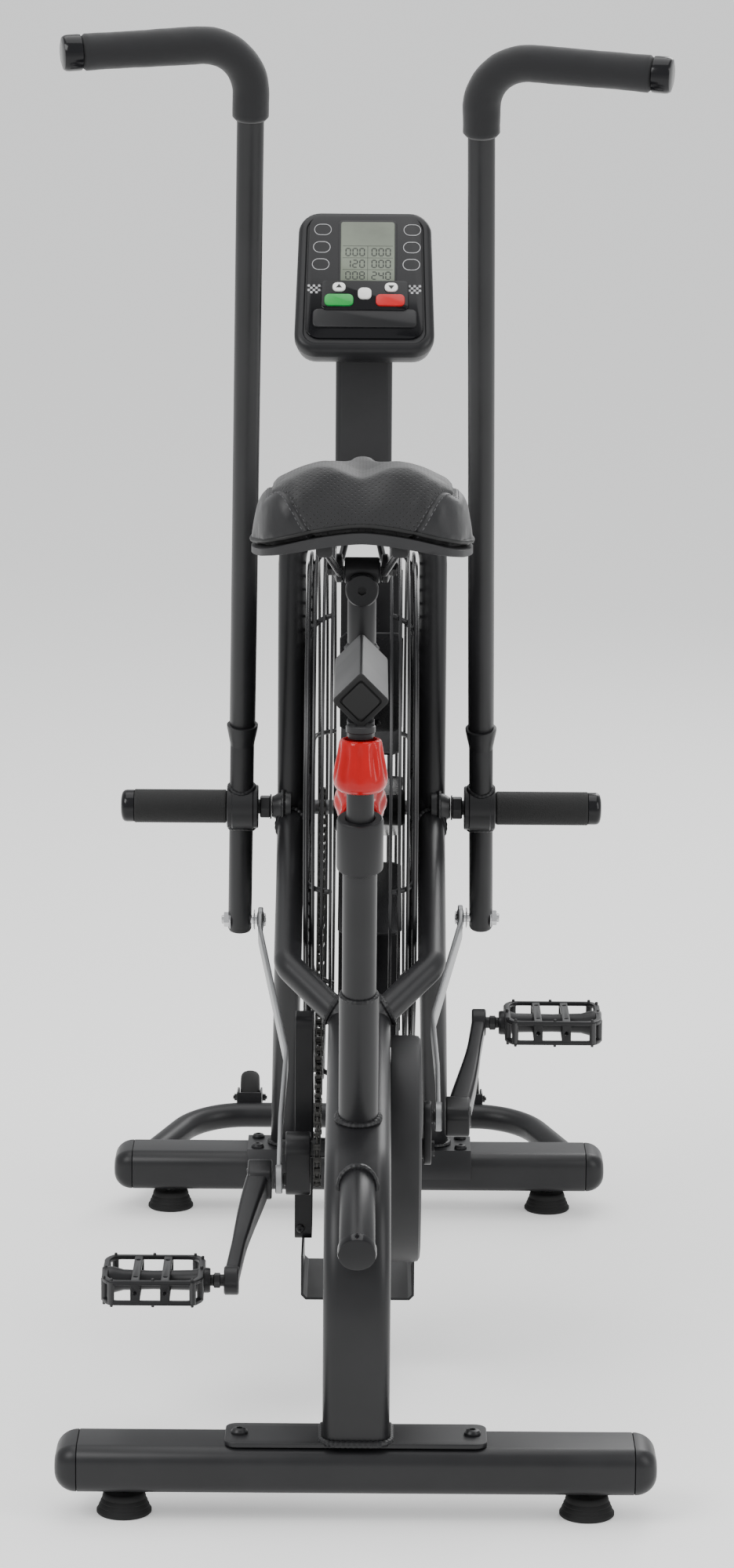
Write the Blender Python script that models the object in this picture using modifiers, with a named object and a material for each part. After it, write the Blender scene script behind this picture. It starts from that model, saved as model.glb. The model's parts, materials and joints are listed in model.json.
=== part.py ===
"""Air bike: an exercise bike with a caged fan, a crank with pedals and two swinging arms, as separate pieces.

+X is the rider's right, +Y is forwards and +Z is up, in metres. The origin is on the floor, under the
centre of the bounding box. Every place along the bike is measured forwards from the rear stabilizer.
"""

import math

import bmesh
import bpy
from mathutils import Matrix, Vector

# Driving dimensions
LENGTH = 1.3730
REAR_REACH = 0.0850
STABILIZER_WIDTH = 0.570
STABILIZER_DEPTH = 0.075
STABILIZER_HEIGHT = 0.046
STABILIZER_LOW = 0.0283
STABILIZER_CORNER = 0.016
STABILIZER_SPACING = 1.037
CAP_THICKNESS = 0.0215
FOOT_X = 0.220
FOOT_RADIUS = 0.0263
GAP = 0.0003

AXLE_Y, AXLE_Z = 0.777, 0.530
CRANK_Y, CRANK_Z = 0.395, 0.250
PEDAL_RADIUS = 0.177
CRANK_REST = math.radians(33)
PIN_RADIUS = 0.037
PIN_LEAD = math.radians(70)
LEVER_LENGTH = 0.138
LINK_LENGTH = 0.445

BEAM_WIDTH = 0.0635
BEAM_CORNER = 0.014
HOOP_RADIUS = 0.0152
HOOP_X = 0.0766
ARM_RADIUS = 0.0145
SEAT_LEAN = math.radians(12.8)
POST_RADIUS = 0.0129
POST_BORE = 0.0134

CAGE_RADIUS = 0.300
CAGE_WIRE = 0.0030
FAN_RADIUS = 0.272
BLADE_COUNT = 10
CHAIN_X = -0.0420
CHAIN_PITCH = 0.0127
CHAINRING_TEETH = 18
FAN_TEETH = 9
CHAIN_HALF = 0.0040

HANDLE_RADIUS = 0.0140
LOWER_RADIUS = 0.0130
HUB_X = 0.1295
GRIP_RADIUS = 0.0190
GRIP_HEIGHT = 0.857
GRIP_X = 0.308

CONSOLE_TILT = math.radians(52)
CONSOLE_SIZE = (0.1466, 0.178, 0.042)
CONSOLE_PLACE = (0.0, 0.792, 1.104)

SADDLE_TAIL, SADDLE_NOSE = 0.132, 0.404
SADDLE_STEPS = 4

WHEEL_X = 0.133
WHEEL_RADIUS = 0.0325
WHEEL_Y, WHEEL_Z = 1.2555, 0.0745

ROUND_SIDES = 14
TUBE_RESOLUTION = 3

REAR_Y = REAR_REACH - LENGTH / 2
SIDES = (("left", -1), ("right", 1))

# Base colour, roughness and metallic value of each finish
FINISHES = {
    "powder_black": ((0.022, 0.022, 0.024), 0.42, 0.0),
    "plastic_black": ((0.012, 0.012, 0.013), 0.38, 0.0),
    "plastic_grey": ((0.040, 0.040, 0.042), 0.55, 0.0),
    "gloss_black": ((0.008, 0.008, 0.009), 0.12, 0.0),
    "rubber_black": ((0.010, 0.010, 0.010), 0.80, 0.0),
    "foam_black": ((0.016, 0.016, 0.017), 0.85, 0.0),
    "vinyl_black": ((0.018, 0.018, 0.020), 0.48, 0.0),
    "steel_dark": ((0.060, 0.060, 0.064), 0.35, 0.8),
    "steel_plate": ((0.350, 0.350, 0.360), 0.38, 0.9),
    "knob_red": ((0.560, 0.008, 0.010), 0.15, 0.0),
    "key_green": ((0.030, 0.420, 0.080), 0.35, 0.0),
    "key_red": ((0.560, 0.020, 0.022), 0.35, 0.0),
    "key_white": ((0.780, 0.780, 0.760), 0.35, 0.0),
}


def clear_scene():
    for thing in list(bpy.data.objects):
        bpy.data.objects.remove(thing, do_unlink=True)


def make_collection(name, hidden):
    made = bpy.data.collections.new(name)
    made.hide_render = hidden
    bpy.context.scene.collection.children.link(made)
    return made


def finish(name):
    made = bpy.data.materials.get(name)
    if made:
        return made
    colour, roughness, metallic = FINISHES[name]
    made = bpy.data.materials.new(name)
    made.use_nodes = True
    shader = made.node_tree.nodes["Principled BSDF"]
    shader.inputs["Base Color"].default_value = (*colour, 1.0)
    shader.inputs["Roughness"].default_value = roughness
    shader.inputs["Metallic"].default_value = metallic
    made.diffuse_color = (*colour, 1.0)
    return made


def place(x, y, z):
    """A point whose y is measured forwards from the rear stabilizer's centre line."""
    return Vector((x, REAR_Y + y, z))


def add(name, data, material, at=(0, 0, 0), turn=(0, 0, 0), parent=None):
    """Puts a mesh or a curve in the bike's collection."""
    made = bpy.data.objects.new(name, data)
    made.location = at
    made.rotation_euler = turn
    made.parent = parent
    data.materials.clear()
    data.materials.append(finish(material))
    BIKE.objects.link(made)
    return made


def mesh_from(name, shape):
    mesh = bpy.data.meshes.new(name)
    bmesh.ops.recalc_face_normals(shape, faces=shape.faces)
    shape.to_mesh(mesh)
    shape.free()
    mesh.shade_smooth()
    mesh.set_sharp_from_angle(angle=math.radians(35))
    return mesh


def box(name, low, high, material, bevel=0.0, **where):
    """A block between two corners, with rounded edges if bevel is given."""
    size = Vector(high) - Vector(low)
    middle = (Vector(high) + Vector(low)) / 2
    shape = bmesh.new()
    bmesh.ops.create_cube(shape, size=1.0, matrix=Matrix.Translation(middle) @ Matrix.Diagonal((*size, 1.0)))
    made = add(name, mesh_from(name, shape), material, **where)
    if bevel:
        rounding = made.modifiers.new("rounding", "BEVEL")
        rounding.width = bevel
        rounding.segments = 2
    return made


def rod(name, start, end, radius, material, end_radius=None, sides=ROUND_SIDES, **where):
    """A round bar or a cone from one point to another."""
    start, end = Vector(start), Vector(end)
    axis = end - start
    shape = bmesh.new()
    bmesh.ops.create_cone(
        shape,
        cap_ends=True,
        segments=sides,
        radius1=radius,
        radius2=radius if end_radius is None else end_radius,
        depth=axis.length,
        matrix=Matrix.Translation((start + end) / 2) @ axis.to_track_quat("Z", "X").to_matrix().to_4x4(),
    )
    return add(name, mesh_from(name, shape), material, **where)


def turned(name, profile, material, steps=ROUND_SIDES, **where):
    """A turned shape: (radius, height) points from the top of its outer side to the bottom, spun about Z."""
    mesh = bpy.data.meshes.new(name)
    points = [(radius, 0.0, height) for radius, height in profile]
    mesh.from_pydata(points, [(i, i + 1) for i in range(len(points) - 1)], [])
    made = add(name, mesh, material, **where)
    spin = made.modifiers.new("spin", "SCREW")
    spin.axis = "Z"
    spin.steps = steps
    spin.render_steps = steps
    spin.use_merge_vertices = True
    spin.merge_threshold = 0.00005
    spin.use_smooth_shade = True
    return made


def bent(points, radius, steps=4):
    """The points of a polyline whose inner corners are rounded with arcs of this radius."""
    points = [Vector(p) for p in points]
    path = [points[0]]
    for before, corner, after in zip(points, points[1:], points[2:]):
        to_before = (before - corner).normalized()
        to_after = (after - corner).normalized()
        half = to_before.angle(to_after) / 2
        centre = corner + (to_before + to_after).normalized() * radius / math.sin(half)
        start = corner + to_before * radius / math.tan(half) - centre
        turn = start.rotation_difference(corner + to_after * radius / math.tan(half) - centre)
        for step in range(steps + 1):
            path.append(centre + Matrix.Rotation(turn.angle * step / steps, 3, turn.axis) @ start)
    path.append(points[-1])
    return path


def path_curve(name, points, cyclic=False):
    curve = bpy.data.curves.new(name, "CURVE")
    curve.dimensions = "3D"
    spline = curve.splines.new("POLY")
    spline.points.add(len(points) - 1)
    for point, place_of in zip(spline.points, points):
        point.co = (*place_of, 1.0)
    spline.use_cyclic_u = cyclic
    return curve


def tube(name, points, radius, material, resolution=TUBE_RESOLUTION, cyclic=False, **where):
    """A solid round bar along a path."""
    curve = path_curve(name, points, cyclic)
    curve.bevel_depth = radius
    curve.bevel_resolution = resolution
    curve.use_fill_caps = not cyclic
    return baked(add(name, curve, material, **where))


def baked(source):
    """A curve or modified object turned into a plain mesh object with the same name and place."""
    bpy.context.view_layer.update()
    graph = bpy.context.evaluated_depsgraph_get()
    mesh = bpy.data.meshes.new_from_object(source.evaluated_get(graph))
    shape = bmesh.new()
    shape.from_mesh(mesh)
    bmesh.ops.remove_doubles(shape, verts=shape.verts, dist=0.00001)
    shape.to_mesh(mesh)
    shape.free()
    mesh.shade_smooth()
    mesh.set_sharp_from_angle(angle=math.radians(35))
    name, matrix, parent = source.name, source.matrix_world.copy(), source.parent
    material = source.active_material.name
    bpy.data.objects.remove(source, do_unlink=True)
    made = add(name, mesh, material, parent=parent)
    made.matrix_world = matrix
    return made


def flat(name, outlines, low, high, material, **where):
    """Closed (y, z) outlines, the inner ones being holes, extruded along X from low to high."""
    curve = bpy.data.curves.new(name, "CURVE")
    curve.dimensions = "2D"
    curve.fill_mode = "BOTH"
    curve.extrude = (high - low) / 2
    for outline in outlines:
        spline = curve.splines.new("POLY")
        spline.points.add(len(outline) - 1)
        for point, (y, z) in zip(spline.points, outline):
            point.co = (y, z, 0.0, 1.0)
        spline.use_cyclic_u = True
    made = add(name, curve, material, **where)
    lying = Matrix(((0, 0, 1, (low + high) / 2), (1, 0, 0, 0), (0, 1, 0, 0), (0, 0, 0, 1)))
    made.matrix_world = made.matrix_world @ lying
    return baked(made)


def circle(y, z, radius, sides=ROUND_SIDES, turn=0.0):
    step = math.tau / sides
    return [(y + radius * math.cos(turn + i * step), z + radius * math.sin(turn + i * step)) for i in range(sides)]


def rounded_rectangle(width, height, corner, steps=3, middle=(0.0, 0.0)):
    """The outline of a rectangle with round corners, anticlockwise."""
    outline = []
    for quarter in range(4):
        across = (width / 2 - corner) * (1 if quarter in (0, 3) else -1)
        up = (height / 2 - corner) * (1 if quarter in (0, 1) else -1)
        for step in range(steps + 1):
            angle = math.pi / 2 * (quarter + step / steps)
            outline.append(
                (middle[0] + across + corner * math.cos(angle), middle[1] + up + corner * math.sin(angle))
            )
    return outline


def lofted(name, rings, material, **where):
    """A closed solid through rings of as many points each."""
    shape = bmesh.new()
    levels = [[shape.verts.new(point) for point in ring] for ring in rings]
    for near, far in zip(levels, levels[1:]):
        for i, point in enumerate(near):
            following = (i + 1) % len(near)
            shape.faces.new((point, near[following], far[following], far[i]))
    shape.faces.new(levels[0])
    shape.faces.new(levels[-1])
    return add(name, mesh_from(name, shape), material, **where)


def combine(target, others, operation):
    """Applies a Boolean with each other object, and removes those objects."""
    for other in others:
        CUTTERS.objects.link(other)
        BIKE.objects.unlink(other)
        other.hide_render = True
        other.display_type = "WIRE"
        step = target.modifiers.new(operation.lower(), "BOOLEAN")
        step.operation = operation
        step.solver = "EXACT"
        step.object = other
    made = baked(target)
    for other in others:
        bpy.data.objects.remove(other, do_unlink=True)
    return made


def join(target, *others):
    return combine(target, others, "UNION")


def cut(target, *others):
    return combine(target, others, "DIFFERENCE")


def pivot(name, at, lean=0.0, parent=None):
    """An empty on a joint's axis, which carries the pieces that turn or slide together."""
    made = bpy.data.objects.new(name, None)
    made.location = at
    made.rotation_euler = (lean, 0.0, 0.0)
    made.parent = parent
    made.empty_display_size = 0.03
    BIKE.objects.link(made)
    bpy.context.view_layer.update()
    return made


def seat_axis(height):
    """The point of the seat tube's axis at this height."""
    foot_y, foot_z = 0.150, 0.325
    return Vector((0.0, REAR_Y + foot_y - (height - foot_z) * math.tan(SEAT_LEAN), height))


def beam_path():
    """The rear beam's centre line: straight up, round a quarter bend and forwards with a small rise."""
    bend, start, end_angle = 0.120, 0.190, math.radians(80)
    points = [place(0, 0, 0.0765)]
    steps = 8
    for step in range(steps + 1):
        angle = end_angle * step / steps
        points.append(place(0, bend - bend * math.cos(angle), start + bend * math.sin(angle)))
    reach = 0.335
    points.append(points[-1] + Vector((0, reach * math.sin(end_angle), reach * math.cos(end_angle))))
    return points


def beam():
    """The rear beam: a rounded square tube swept along its path."""
    rings = []
    path = beam_path()
    outline = rounded_rectangle(BEAM_WIDTH, BEAM_WIDTH, BEAM_CORNER, steps=3)
    for i, centre in enumerate(path):
        along = (path[min(i + 1, len(path) - 1)] - path[max(i - 1, 0)]).normalized()
        across = Vector((1, 0, 0))
        up = across.cross(along)
        rings.append([centre + across * x + up * y for x, y in outline])
    return lofted("main_frame", rings, "powder_black")


def hoop_path():
    """The side hoop's centre line, from the right foot over the cage to the left foot."""
    half = [
        place(0.088, STABILIZER_SPACING, 0.066),
        place(HOOP_X, 0.785, 0.520),
        place(HOOP_X, 0.800, 0.862),
    ]
    other = [Vector((-p.x, p.y, p.z)) for p in reversed(half)]
    return bent(half + other, 0.066)


def fork_arm(side):
    path = [
        place(side * 0.016, 0.405, 0.382),
        place(side * 0.0745, 0.470, 0.424),
        place(side * HOOP_X, 0.784, 0.518),
    ]
    return tube("fork_arm", bent(path, 0.030, 4), ARM_RADIUS, "powder_black")


def seat_tube_solids():
    sleeve_top, tube_top, collar_low, collar_top = 0.4786, 0.650, 0.609, 0.6600
    return [
        rod("sleeve", seat_axis(0.330), seat_axis(sleeve_top), 0.0191, "powder_black"),
        rod("seat_tube", seat_axis(sleeve_top - 0.01), seat_axis(tube_top), 0.0164, "powder_black"),
        rod("collar", seat_axis(collar_low), seat_axis(collar_top), 0.0222, "powder_black"),
    ]


def pin_boss():
    """The threaded boss of the pull pin, square to the seat tube on its front side."""
    start = seat_axis(0.648)
    return rod("pin_boss", start, start + pin_direction() * 0.028, 0.0095, "powder_black")


def pin_direction():
    return Vector((0, math.cos(SEAT_LEAN), math.sin(SEAT_LEAN)))


def lower_bracket():
    """The open channel under the crank shell that the two covers stand on."""
    outer = [place(-0.0585, 0.400, 0.086), place(0.0585, 0.540, 0.133)]
    inner = [place(-0.0560, 0.380, 0.0885), place(0.0560, 0.560, 0.150)]
    channel = cut(
        box("lower_bracket", *outer, "powder_black"),
        box("channel_cut", *inner, "powder_black"),
    )
    return channel


def front_saddle(side):
    """The formed bracket by which a hoop foot is bolted over the front stabilizer."""
    top = STABILIZER_LOW + STABILIZER_HEIGHT + GAP
    half = STABILIZER_DEPTH / 2 + GAP
    inside, outside = sorted((side * 0.070, side * 0.130))
    low = place(inside, STABILIZER_SPACING - half - 0.003, 0.048)
    high = place(outside, STABILIZER_SPACING + half + 0.003, top + 0.004)
    room_low = place(inside - 0.01, STABILIZER_SPACING - half, 0.0)
    room_high = place(outside + 0.01, STABILIZER_SPACING + half, top)
    return cut(
        box("front_saddle", low, high, "powder_black"),
        box("saddle_cut", room_low, room_high, "powder_black"),
    )


def main_frame():
    top = STABILIZER_LOW + STABILIZER_HEIGHT
    plate = box("base_plate", place(-0.124, -0.030, top + GAP), place(0.124, 0.030, top + 0.005), "powder_black")
    hoop = tube("hoop", hoop_path(), HOOP_RADIUS, "powder_black")
    room = box(
        "hoop_cut",
        place(-0.2, STABILIZER_SPACING - 0.05, 0.0),
        place(0.2, STABILIZER_SPACING + 0.05, top + 0.003),
        "powder_black",
    )
    hoop = cut(hoop, room)
    lift = rod("lift_handle", place(0, 0.045, 0.318), place(0, -0.068, 0.2815), 0.0168, "powder_black")
    shell = rod("crank_shell", (-0.0325, *place(0, CRANK_Y, CRANK_Z).yz), (0.0325, *place(0, CRANK_Y, CRANK_Z).yz),
                0.0230, "powder_black")
    gusset = box("gusset", place(-0.020, 0.372, 0.262), place(0.020, 0.418, 0.345), "powder_black")
    drop = box("drop_plate", place(-0.012, 0.403, 0.087), place(0.012, 0.425, 0.245), "powder_black")
    socket = box("mast_socket", place(-0.033, 0.777, 0.850), place(0.033, 0.823, 0.899), "powder_black", bevel=0.004)
    bosses = [
        rod("boss", place(side * HOOP_X, AXLE_Y, AXLE_Z), place(side * 0.0975, AXLE_Y, AXLE_Z), 0.0190,
            "powder_black", end_radius=0.0115)
        for _, side in SIDES
    ]
    frame = join(
        beam(),
        plate,
        hoop,
        *[fork_arm(side) for _, side in SIDES],
        *seat_tube_solids(),
        pin_boss(),
        lift,
        shell,
        gusset,
        drop,
        lower_bracket(),
        *[front_saddle(side) for _, side in SIDES],
        baked(socket),
        *bosses,
    )
    bore = rod("seat_bore", seat_axis(0.350), seat_axis(0.700), POST_BORE, "powder_black")
    spindle_bore = rod(
        "spindle_bore", place(-0.05, CRANK_Y, CRANK_Z), place(0.05, CRANK_Y, CRANK_Z), 0.0115, "powder_black"
    )
    start = seat_axis(0.648)
    pin_bore = rod("pin_bore", start, start + pin_direction() * 0.04, 0.0045, "powder_black")
    return cut(frame, bore, spindle_bore, pin_bore)


def stabilizers():
    middle_z = STABILIZER_LOW + STABILIZER_HEIGHT / 2
    half = STABILIZER_WIDTH / 2 - CAP_THICKNESS - GAP
    for end, y in (("rear", 0.0), ("front", STABILIZER_SPACING)):
        centre = place(0, y, middle_z)
        outline = rounded_rectangle(
            STABILIZER_DEPTH, STABILIZER_HEIGHT, STABILIZER_CORNER, middle=(centre.y, centre.z)
        )
        flat(f"{end}_stabilizer", [outline], -half, half, "powder_black")
        for side_name, side in SIDES:
            rings = []
            for depth, inset in ((0.0, 0.0), (0.009, 0.0004), (0.0175, 0.005), (0.0215, 0.012)):
                corner = STABILIZER_CORNER - inset * 0.4
                ring = rounded_rectangle(
                    STABILIZER_DEPTH - 2 * inset, STABILIZER_HEIGHT - 2 * inset, corner, middle=(centre.y, centre.z)
                )
                rings.append([(side * (half + GAP + depth), y_, z_) for y_, z_ in ring])
            lofted(f"stabilizer_cap_{end}_{side_name}", rings, "plastic_black")
            turning = pivot(f"{end}_{side_name}_foot_axis", place(side * FOOT_X, y, 0))
            levelling_foot(f"foot_{end}_{side_name}", turning)


def levelling_foot(name, turning):
    """A rubber cone on a threaded stud with its nut, from the top of the stud down."""
    profile = [
        (0.0, STABILIZER_LOW - GAP),
        (0.0085, STABILIZER_LOW - GAP),
        (0.0090, 0.0215),
        (0.0195, 0.0210),
        (FOOT_RADIUS, 0.0030),
        (FOOT_RADIUS, 0.0),
        (0.0, 0.0),
    ]
    turned(name, profile, "rubber_black", parent=turning)


def wheel_bar():
    """The bent tube ahead of the front stabilizer, with the two forks of the transport wheels."""
    start_y = STABILIZER_SPACING + STABILIZER_DEPTH / 2 + GAP
    points = [
        place(0.245, STABILIZER_SPACING + 0.015, 0.0500),
        place(0.190, 1.205, 0.0660),
        place(-0.190, 1.205, 0.0660),
        place(-0.245, STABILIZER_SPACING + 0.015, 0.0500),
    ]
    bar = tube("wheel_bar", bent(points, 0.085), 0.0148, "powder_black")
    bar = cut(bar, box("bar_cut", place(-0.3, STABILIZER_SPACING - 0.03, 0), place(0.3, start_y, 0.1), "powder_black"))
    forks = []
    for _, side in SIDES:
        forks.append(wheel_fork(side))
    return join(bar, *forks)


def wheel_fork(side):
    """A U of sheet round one wheel, on the front of the bent tube."""
    half_outer, half_inner = 0.0150, 0.0125
    outer = box(
        "fork",
        place(side * WHEEL_X - half_outer, 1.212, 0.0575),
        place(side * WHEEL_X + half_outer, 1.2650, 0.0915),
        "powder_black",
    )
    room = box(
        "fork_cut",
        place(side * WHEEL_X - half_inner, 1.2215, 0.03),
        place(side * WHEEL_X + half_inner, 1.30, 0.12),
        "powder_black",
    )
    fork = cut(outer, room)
    axle = rod(
        "wheel_axle",
        place(side * WHEEL_X - half_outer - 0.004, WHEEL_Y, WHEEL_Z),
        place(side * WHEEL_X + half_outer + 0.004, WHEEL_Y, WHEEL_Z),
        0.0040,
        "powder_black",
    )
    return join(fork, axle)


def transport_wheels():
    for side_name, side in SIDES:
        axle = pivot(f"{side_name}_wheel_axle", place(side * WHEEL_X, WHEEL_Y, WHEEL_Z))
        half = 0.0118
        profile = [
            (0.0045, half),
            (0.0220, half),
            (0.0300, half - 0.002),
            (WHEEL_RADIUS, half - 0.005),
            (WHEEL_RADIUS, 0.005 - half),
            (0.0300, 0.002 - half),
            (0.0220, -half),
            (0.0045, -half),
            (0.0045, half),
        ]
        turned(f"transport_wheel_{side_name}", profile, "rubber_black", steps=16, turn=(0, math.pi / 2, 0), parent=axle)


def lift_handle_cap():
    start = place(0, -0.068, 0.2815)
    along = (start - place(0, 0.045, 0.318)).normalized()
    rod("lift_handle_cap", start + along * GAP, start + along * 0.012, 0.0182, "plastic_grey", sides=16)


def console_mast():
    outline = rounded_rectangle(0.061, 0.040, 0.006, middle=(0.0, 0.0))
    rings = [[place(x, 0.800 + y, z) for x, y in outline] for z in (0.8995, 1.066)]
    mast = lofted("console_mast", rings, "powder_black")
    room = box(
        "console_room",
        (-0.2, -0.3, -CONSOLE_SIZE[2] - GAP),
        (0.2, 0.3, 0.2),
        "powder_black",
        at=place(*CONSOLE_PLACE),
        turn=(CONSOLE_TILT, 0, 0),
    )
    cut(mast, room)


def on_face(x, y, z=0.0):
    """A point of the console: x across, y up its face, z out of the face."""
    return Vector((x, y, z))


def console():
    """The display unit: its local z = 0 is the front of the face plate's bed."""
    frame = pivot("console_frame", place(*CONSOLE_PLACE), CONSOLE_TILT)
    width, height, depth = CONSOLE_SIZE
    rings = []
    for z, inset in ((-depth, 0.012), (-depth * 0.75, 0.004), (-depth * 0.3, 0.0), (-0.004, 0.0), (0.0, 0.003)):
        outline = rounded_rectangle(width - 2 * inset, height - 2 * inset, 0.022 - inset)
        rings.append([on_face(x * (1 - 0.06 * (y / height)), y, z) for x, y in outline])
    lofted("console_body", rings, "plastic_black", parent=frame)
    face = rounded_rectangle(0.122, 0.158, 0.012)
    rings = [[on_face(x * (1 - 0.06 * (y / height)), y + 0.004, z) for x, y in face] for z in (GAP, 0.0016)]
    plate = lofted("console_face", rings, "gloss_black")
    pad = box("key_bed", (-0.0470, -0.0405, 0.0008), (0.0475, -0.0030, 0.0050), "gloss_black", bevel=0.002)
    plate = join(plate, baked(pad))
    plate.parent = frame
    keys = (
        ("key_up", -0.0275, -0.0125, 0.0140, 0.0110, "key_white"),
        ("key_down", 0.0285, -0.0125, 0.0140, 0.0110, "key_white"),
        ("key_enter", 0.0, -0.0205, 0.0145, 0.0140, "key_white"),
        ("key_start", -0.0275, -0.0290, 0.0310, 0.0145, "key_green"),
        ("key_stop", 0.0275, -0.0290, 0.0310, 0.0145, "key_red"),
    )
    pockets = []
    for name, x, y, wide, high, colour in keys:
        corner = 0.0052
        shape = rounded_rectangle(wide, high, corner, steps=2, middle=(x, y))
        rings = [[on_face(a, b, z) for a, b in shape] for z in (0.0032, 0.0072)]
        lofted(name, rings, colour, parent=frame)
        room = rounded_rectangle(wide + 2 * GAP, high + 2 * GAP, corner + GAP, steps=2, middle=(x, y))
        pockets.append(lofted("pocket", [[on_face(a, b, z) for a, b in room] for z in (0.0019, 0.01)], colour))
    plate.parent = None
    plate = cut(plate, *pockets)
    plate.parent = frame


def cage_profile(side):
    """(x, radius) of a guard wire, from the hub plate to the rim."""
    return [(side * 0.0570, 0.050), (side * 0.0565, 0.240), (side * 0.0545, 0.272), (side * 0.0310, CAGE_RADIUS)]


def cage_ring(x, radius):
    steps = 20
    points = [
        place(x, AXLE_Y + radius * math.cos(math.tau * i / steps), AXLE_Z + radius * math.sin(math.tau * i / steps))
        for i in range(steps)
    ]
    return tube("ring", points, CAGE_WIRE, "steel_dark", resolution=0, cyclic=True)


def cage_half(name, side):
    """A guard half: a hub plate, two hoops and six wires that leave the chain's path open."""
    centre = place(0, AXLE_Y, AXLE_Z)
    plate = rod(name, (side * 0.0555, *centre.yz), (side * 0.0590, *centre.yz), 0.055, "steel_dark")
    rings = [cage_ring(side * x, radius) for x, radius in ((0.0542, 0.272), (0.0310, CAGE_RADIUS))]
    wires = []
    for spoke in range(6):
        angle = math.radians(6 + 60 * spoke)
        points = [
            place(x, AXLE_Y + radius * math.cos(angle), AXLE_Z + radius * math.sin(angle))
            for x, radius in cage_profile(side)
        ]
        wires.append(tube("wire", points, CAGE_WIRE * 0.9, "steel_dark", resolution=0))
    half = join(plate, *rings, *wires)
    bore = rod("cage_bore", (-0.1, *centre.yz), (0.1, *centre.yz), 0.0090, "steel_dark")
    cut(half, bore)


def fan():
    axle = pivot("fan_pivot", place(0, AXLE_Y, AXLE_Z))
    centre = place(0, AXLE_Y, AXLE_Z)
    low, high = HOOP_X - HOOP_RADIUS - 2 * GAP, -HOOP_X + HOOP_RADIUS + 2 * GAP
    rod("fan_axle", (low, *centre.yz), (high, *centre.yz), 0.0080, "steel_dark")
    hub = rod("fan_wheel", (-0.0300, 0, 0), (0.0480, 0, 0), 0.0260, "steel_dark")
    disc = rod("disc", (0.0080, 0, 0), (0.0110, 0, 0), 0.190, "steel_dark", sides=20)
    blades = []
    for i in range(BLADE_COUNT):
        blade = box("blade", (-0.0240, 0.120, -0.0013), (0.0440, FAN_RADIUS, 0.0013), "steel_dark")
        blade.matrix_world = Matrix.Rotation(math.tau * (i + 0.5) / BLADE_COUNT, 4, "X")
        blades.append(blade)
    wheel = join(hub, disc, *blades)
    wheel = cut(wheel, rod("fan_bore", (-0.1, 0, 0), (0.1, 0, 0), 0.0085, "steel_dark"))
    wheel.parent = axle
    sprocket = chain_wheel("fan_sprocket", FAN_TEETH, 0.0085)
    sprocket.parent = axle


def pitch_radius(teeth):
    return CHAIN_PITCH / (2 * math.sin(math.pi / teeth))


def chain_wheel(name, teeth, bore):
    """A sprocket as the disc inside its chain, centred on its own axis."""
    radius = pitch_radius(teeth) - CHAIN_HALF - GAP
    outlines = [circle(0, 0, radius), circle(0, 0, bore)]
    return flat(name, outlines, CHAIN_X - 0.0015, CHAIN_X + 0.0015, "steel_dark")


def chain_outline(offset):
    """The chain's loop round both sprockets, offset outwards from its pitch line."""
    big, small = pitch_radius(CHAINRING_TEETH) + offset, pitch_radius(FAN_TEETH) + offset
    rear, front = place(0, CRANK_Y, CRANK_Z), place(0, AXLE_Y, AXLE_Z)
    along = front - rear
    heading = math.atan2(along.z, along.y)
    wrap = math.acos((big - small) / along.length)
    outline = []
    steps = 12
    for step in range(steps + 1):
        angle = heading + wrap + (math.tau - 2 * wrap) * step / steps
        outline.append((rear.y + big * math.cos(angle), rear.z + big * math.sin(angle)))
    for step in range(steps + 1):
        angle = heading - wrap + 2 * wrap * step / steps
        outline.append((front.y + small * math.cos(angle), front.z + small * math.sin(angle)))
    return outline


def drive_chain():
    outlines = [chain_outline(CHAIN_HALF), chain_outline(-CHAIN_HALF)]
    flat("drive_chain", outlines, CHAIN_X - CHAIN_HALF, CHAIN_X + CHAIN_HALF, "steel_dark")


def chain_guard():
    """The left cover: a shallow case open towards the beam, with windows where the chain passes."""
    corners = [(0.4525, 0.134), (0.500, 0.134), (0.560, 0.200), (0.580, 0.265), (0.530, 0.325), (0.495, 0.372)]
    corners.append((0.4525, 0.372))
    outline = [tuple(place(0, *corner).yz) for corner in corners]
    wall = 0.0016
    middle = Vector((REAR_Y + 0.500, 0.250))
    inner = [tuple(Vector(p) - (Vector(p) - middle).normalized() * wall * 1.6) for p in outline]
    case = flat("chain_guard", [outline], -0.0660, -0.0340, "plastic_black")
    pocket = flat("guard_pocket", [inner], -0.0660 + wall, -0.0200, "plastic_black")
    window = box("chain_window", place(-0.0490, 0.430, 0.215), place(-0.0300, 0.700, 0.400), "plastic_black")
    case = cut(case, pocket, window)
    return case


def crank_cover():
    """The right cover: a round drum open towards the beam, with a hole for the spindle."""
    centre = tuple(place(0, CRANK_Y, CRANK_Z).yz)
    drum = flat("crank_cover", [circle(*centre, 0.1165, 30)], 0.0328, 0.0640, "plastic_grey")
    pocket = flat("drum_pocket", [circle(*centre, 0.1147, 30)], 0.0200, 0.0622, "plastic_grey")
    hole = flat("drum_hole", [circle(*centre, 0.0160)], 0.0200, 0.0800, "plastic_grey")
    return cut(drum, pocket, hole)


def crank_point(radius, angle):
    """(y, z) from the crank's axis."""
    return radius * math.cos(angle), radius * math.sin(angle)


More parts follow.
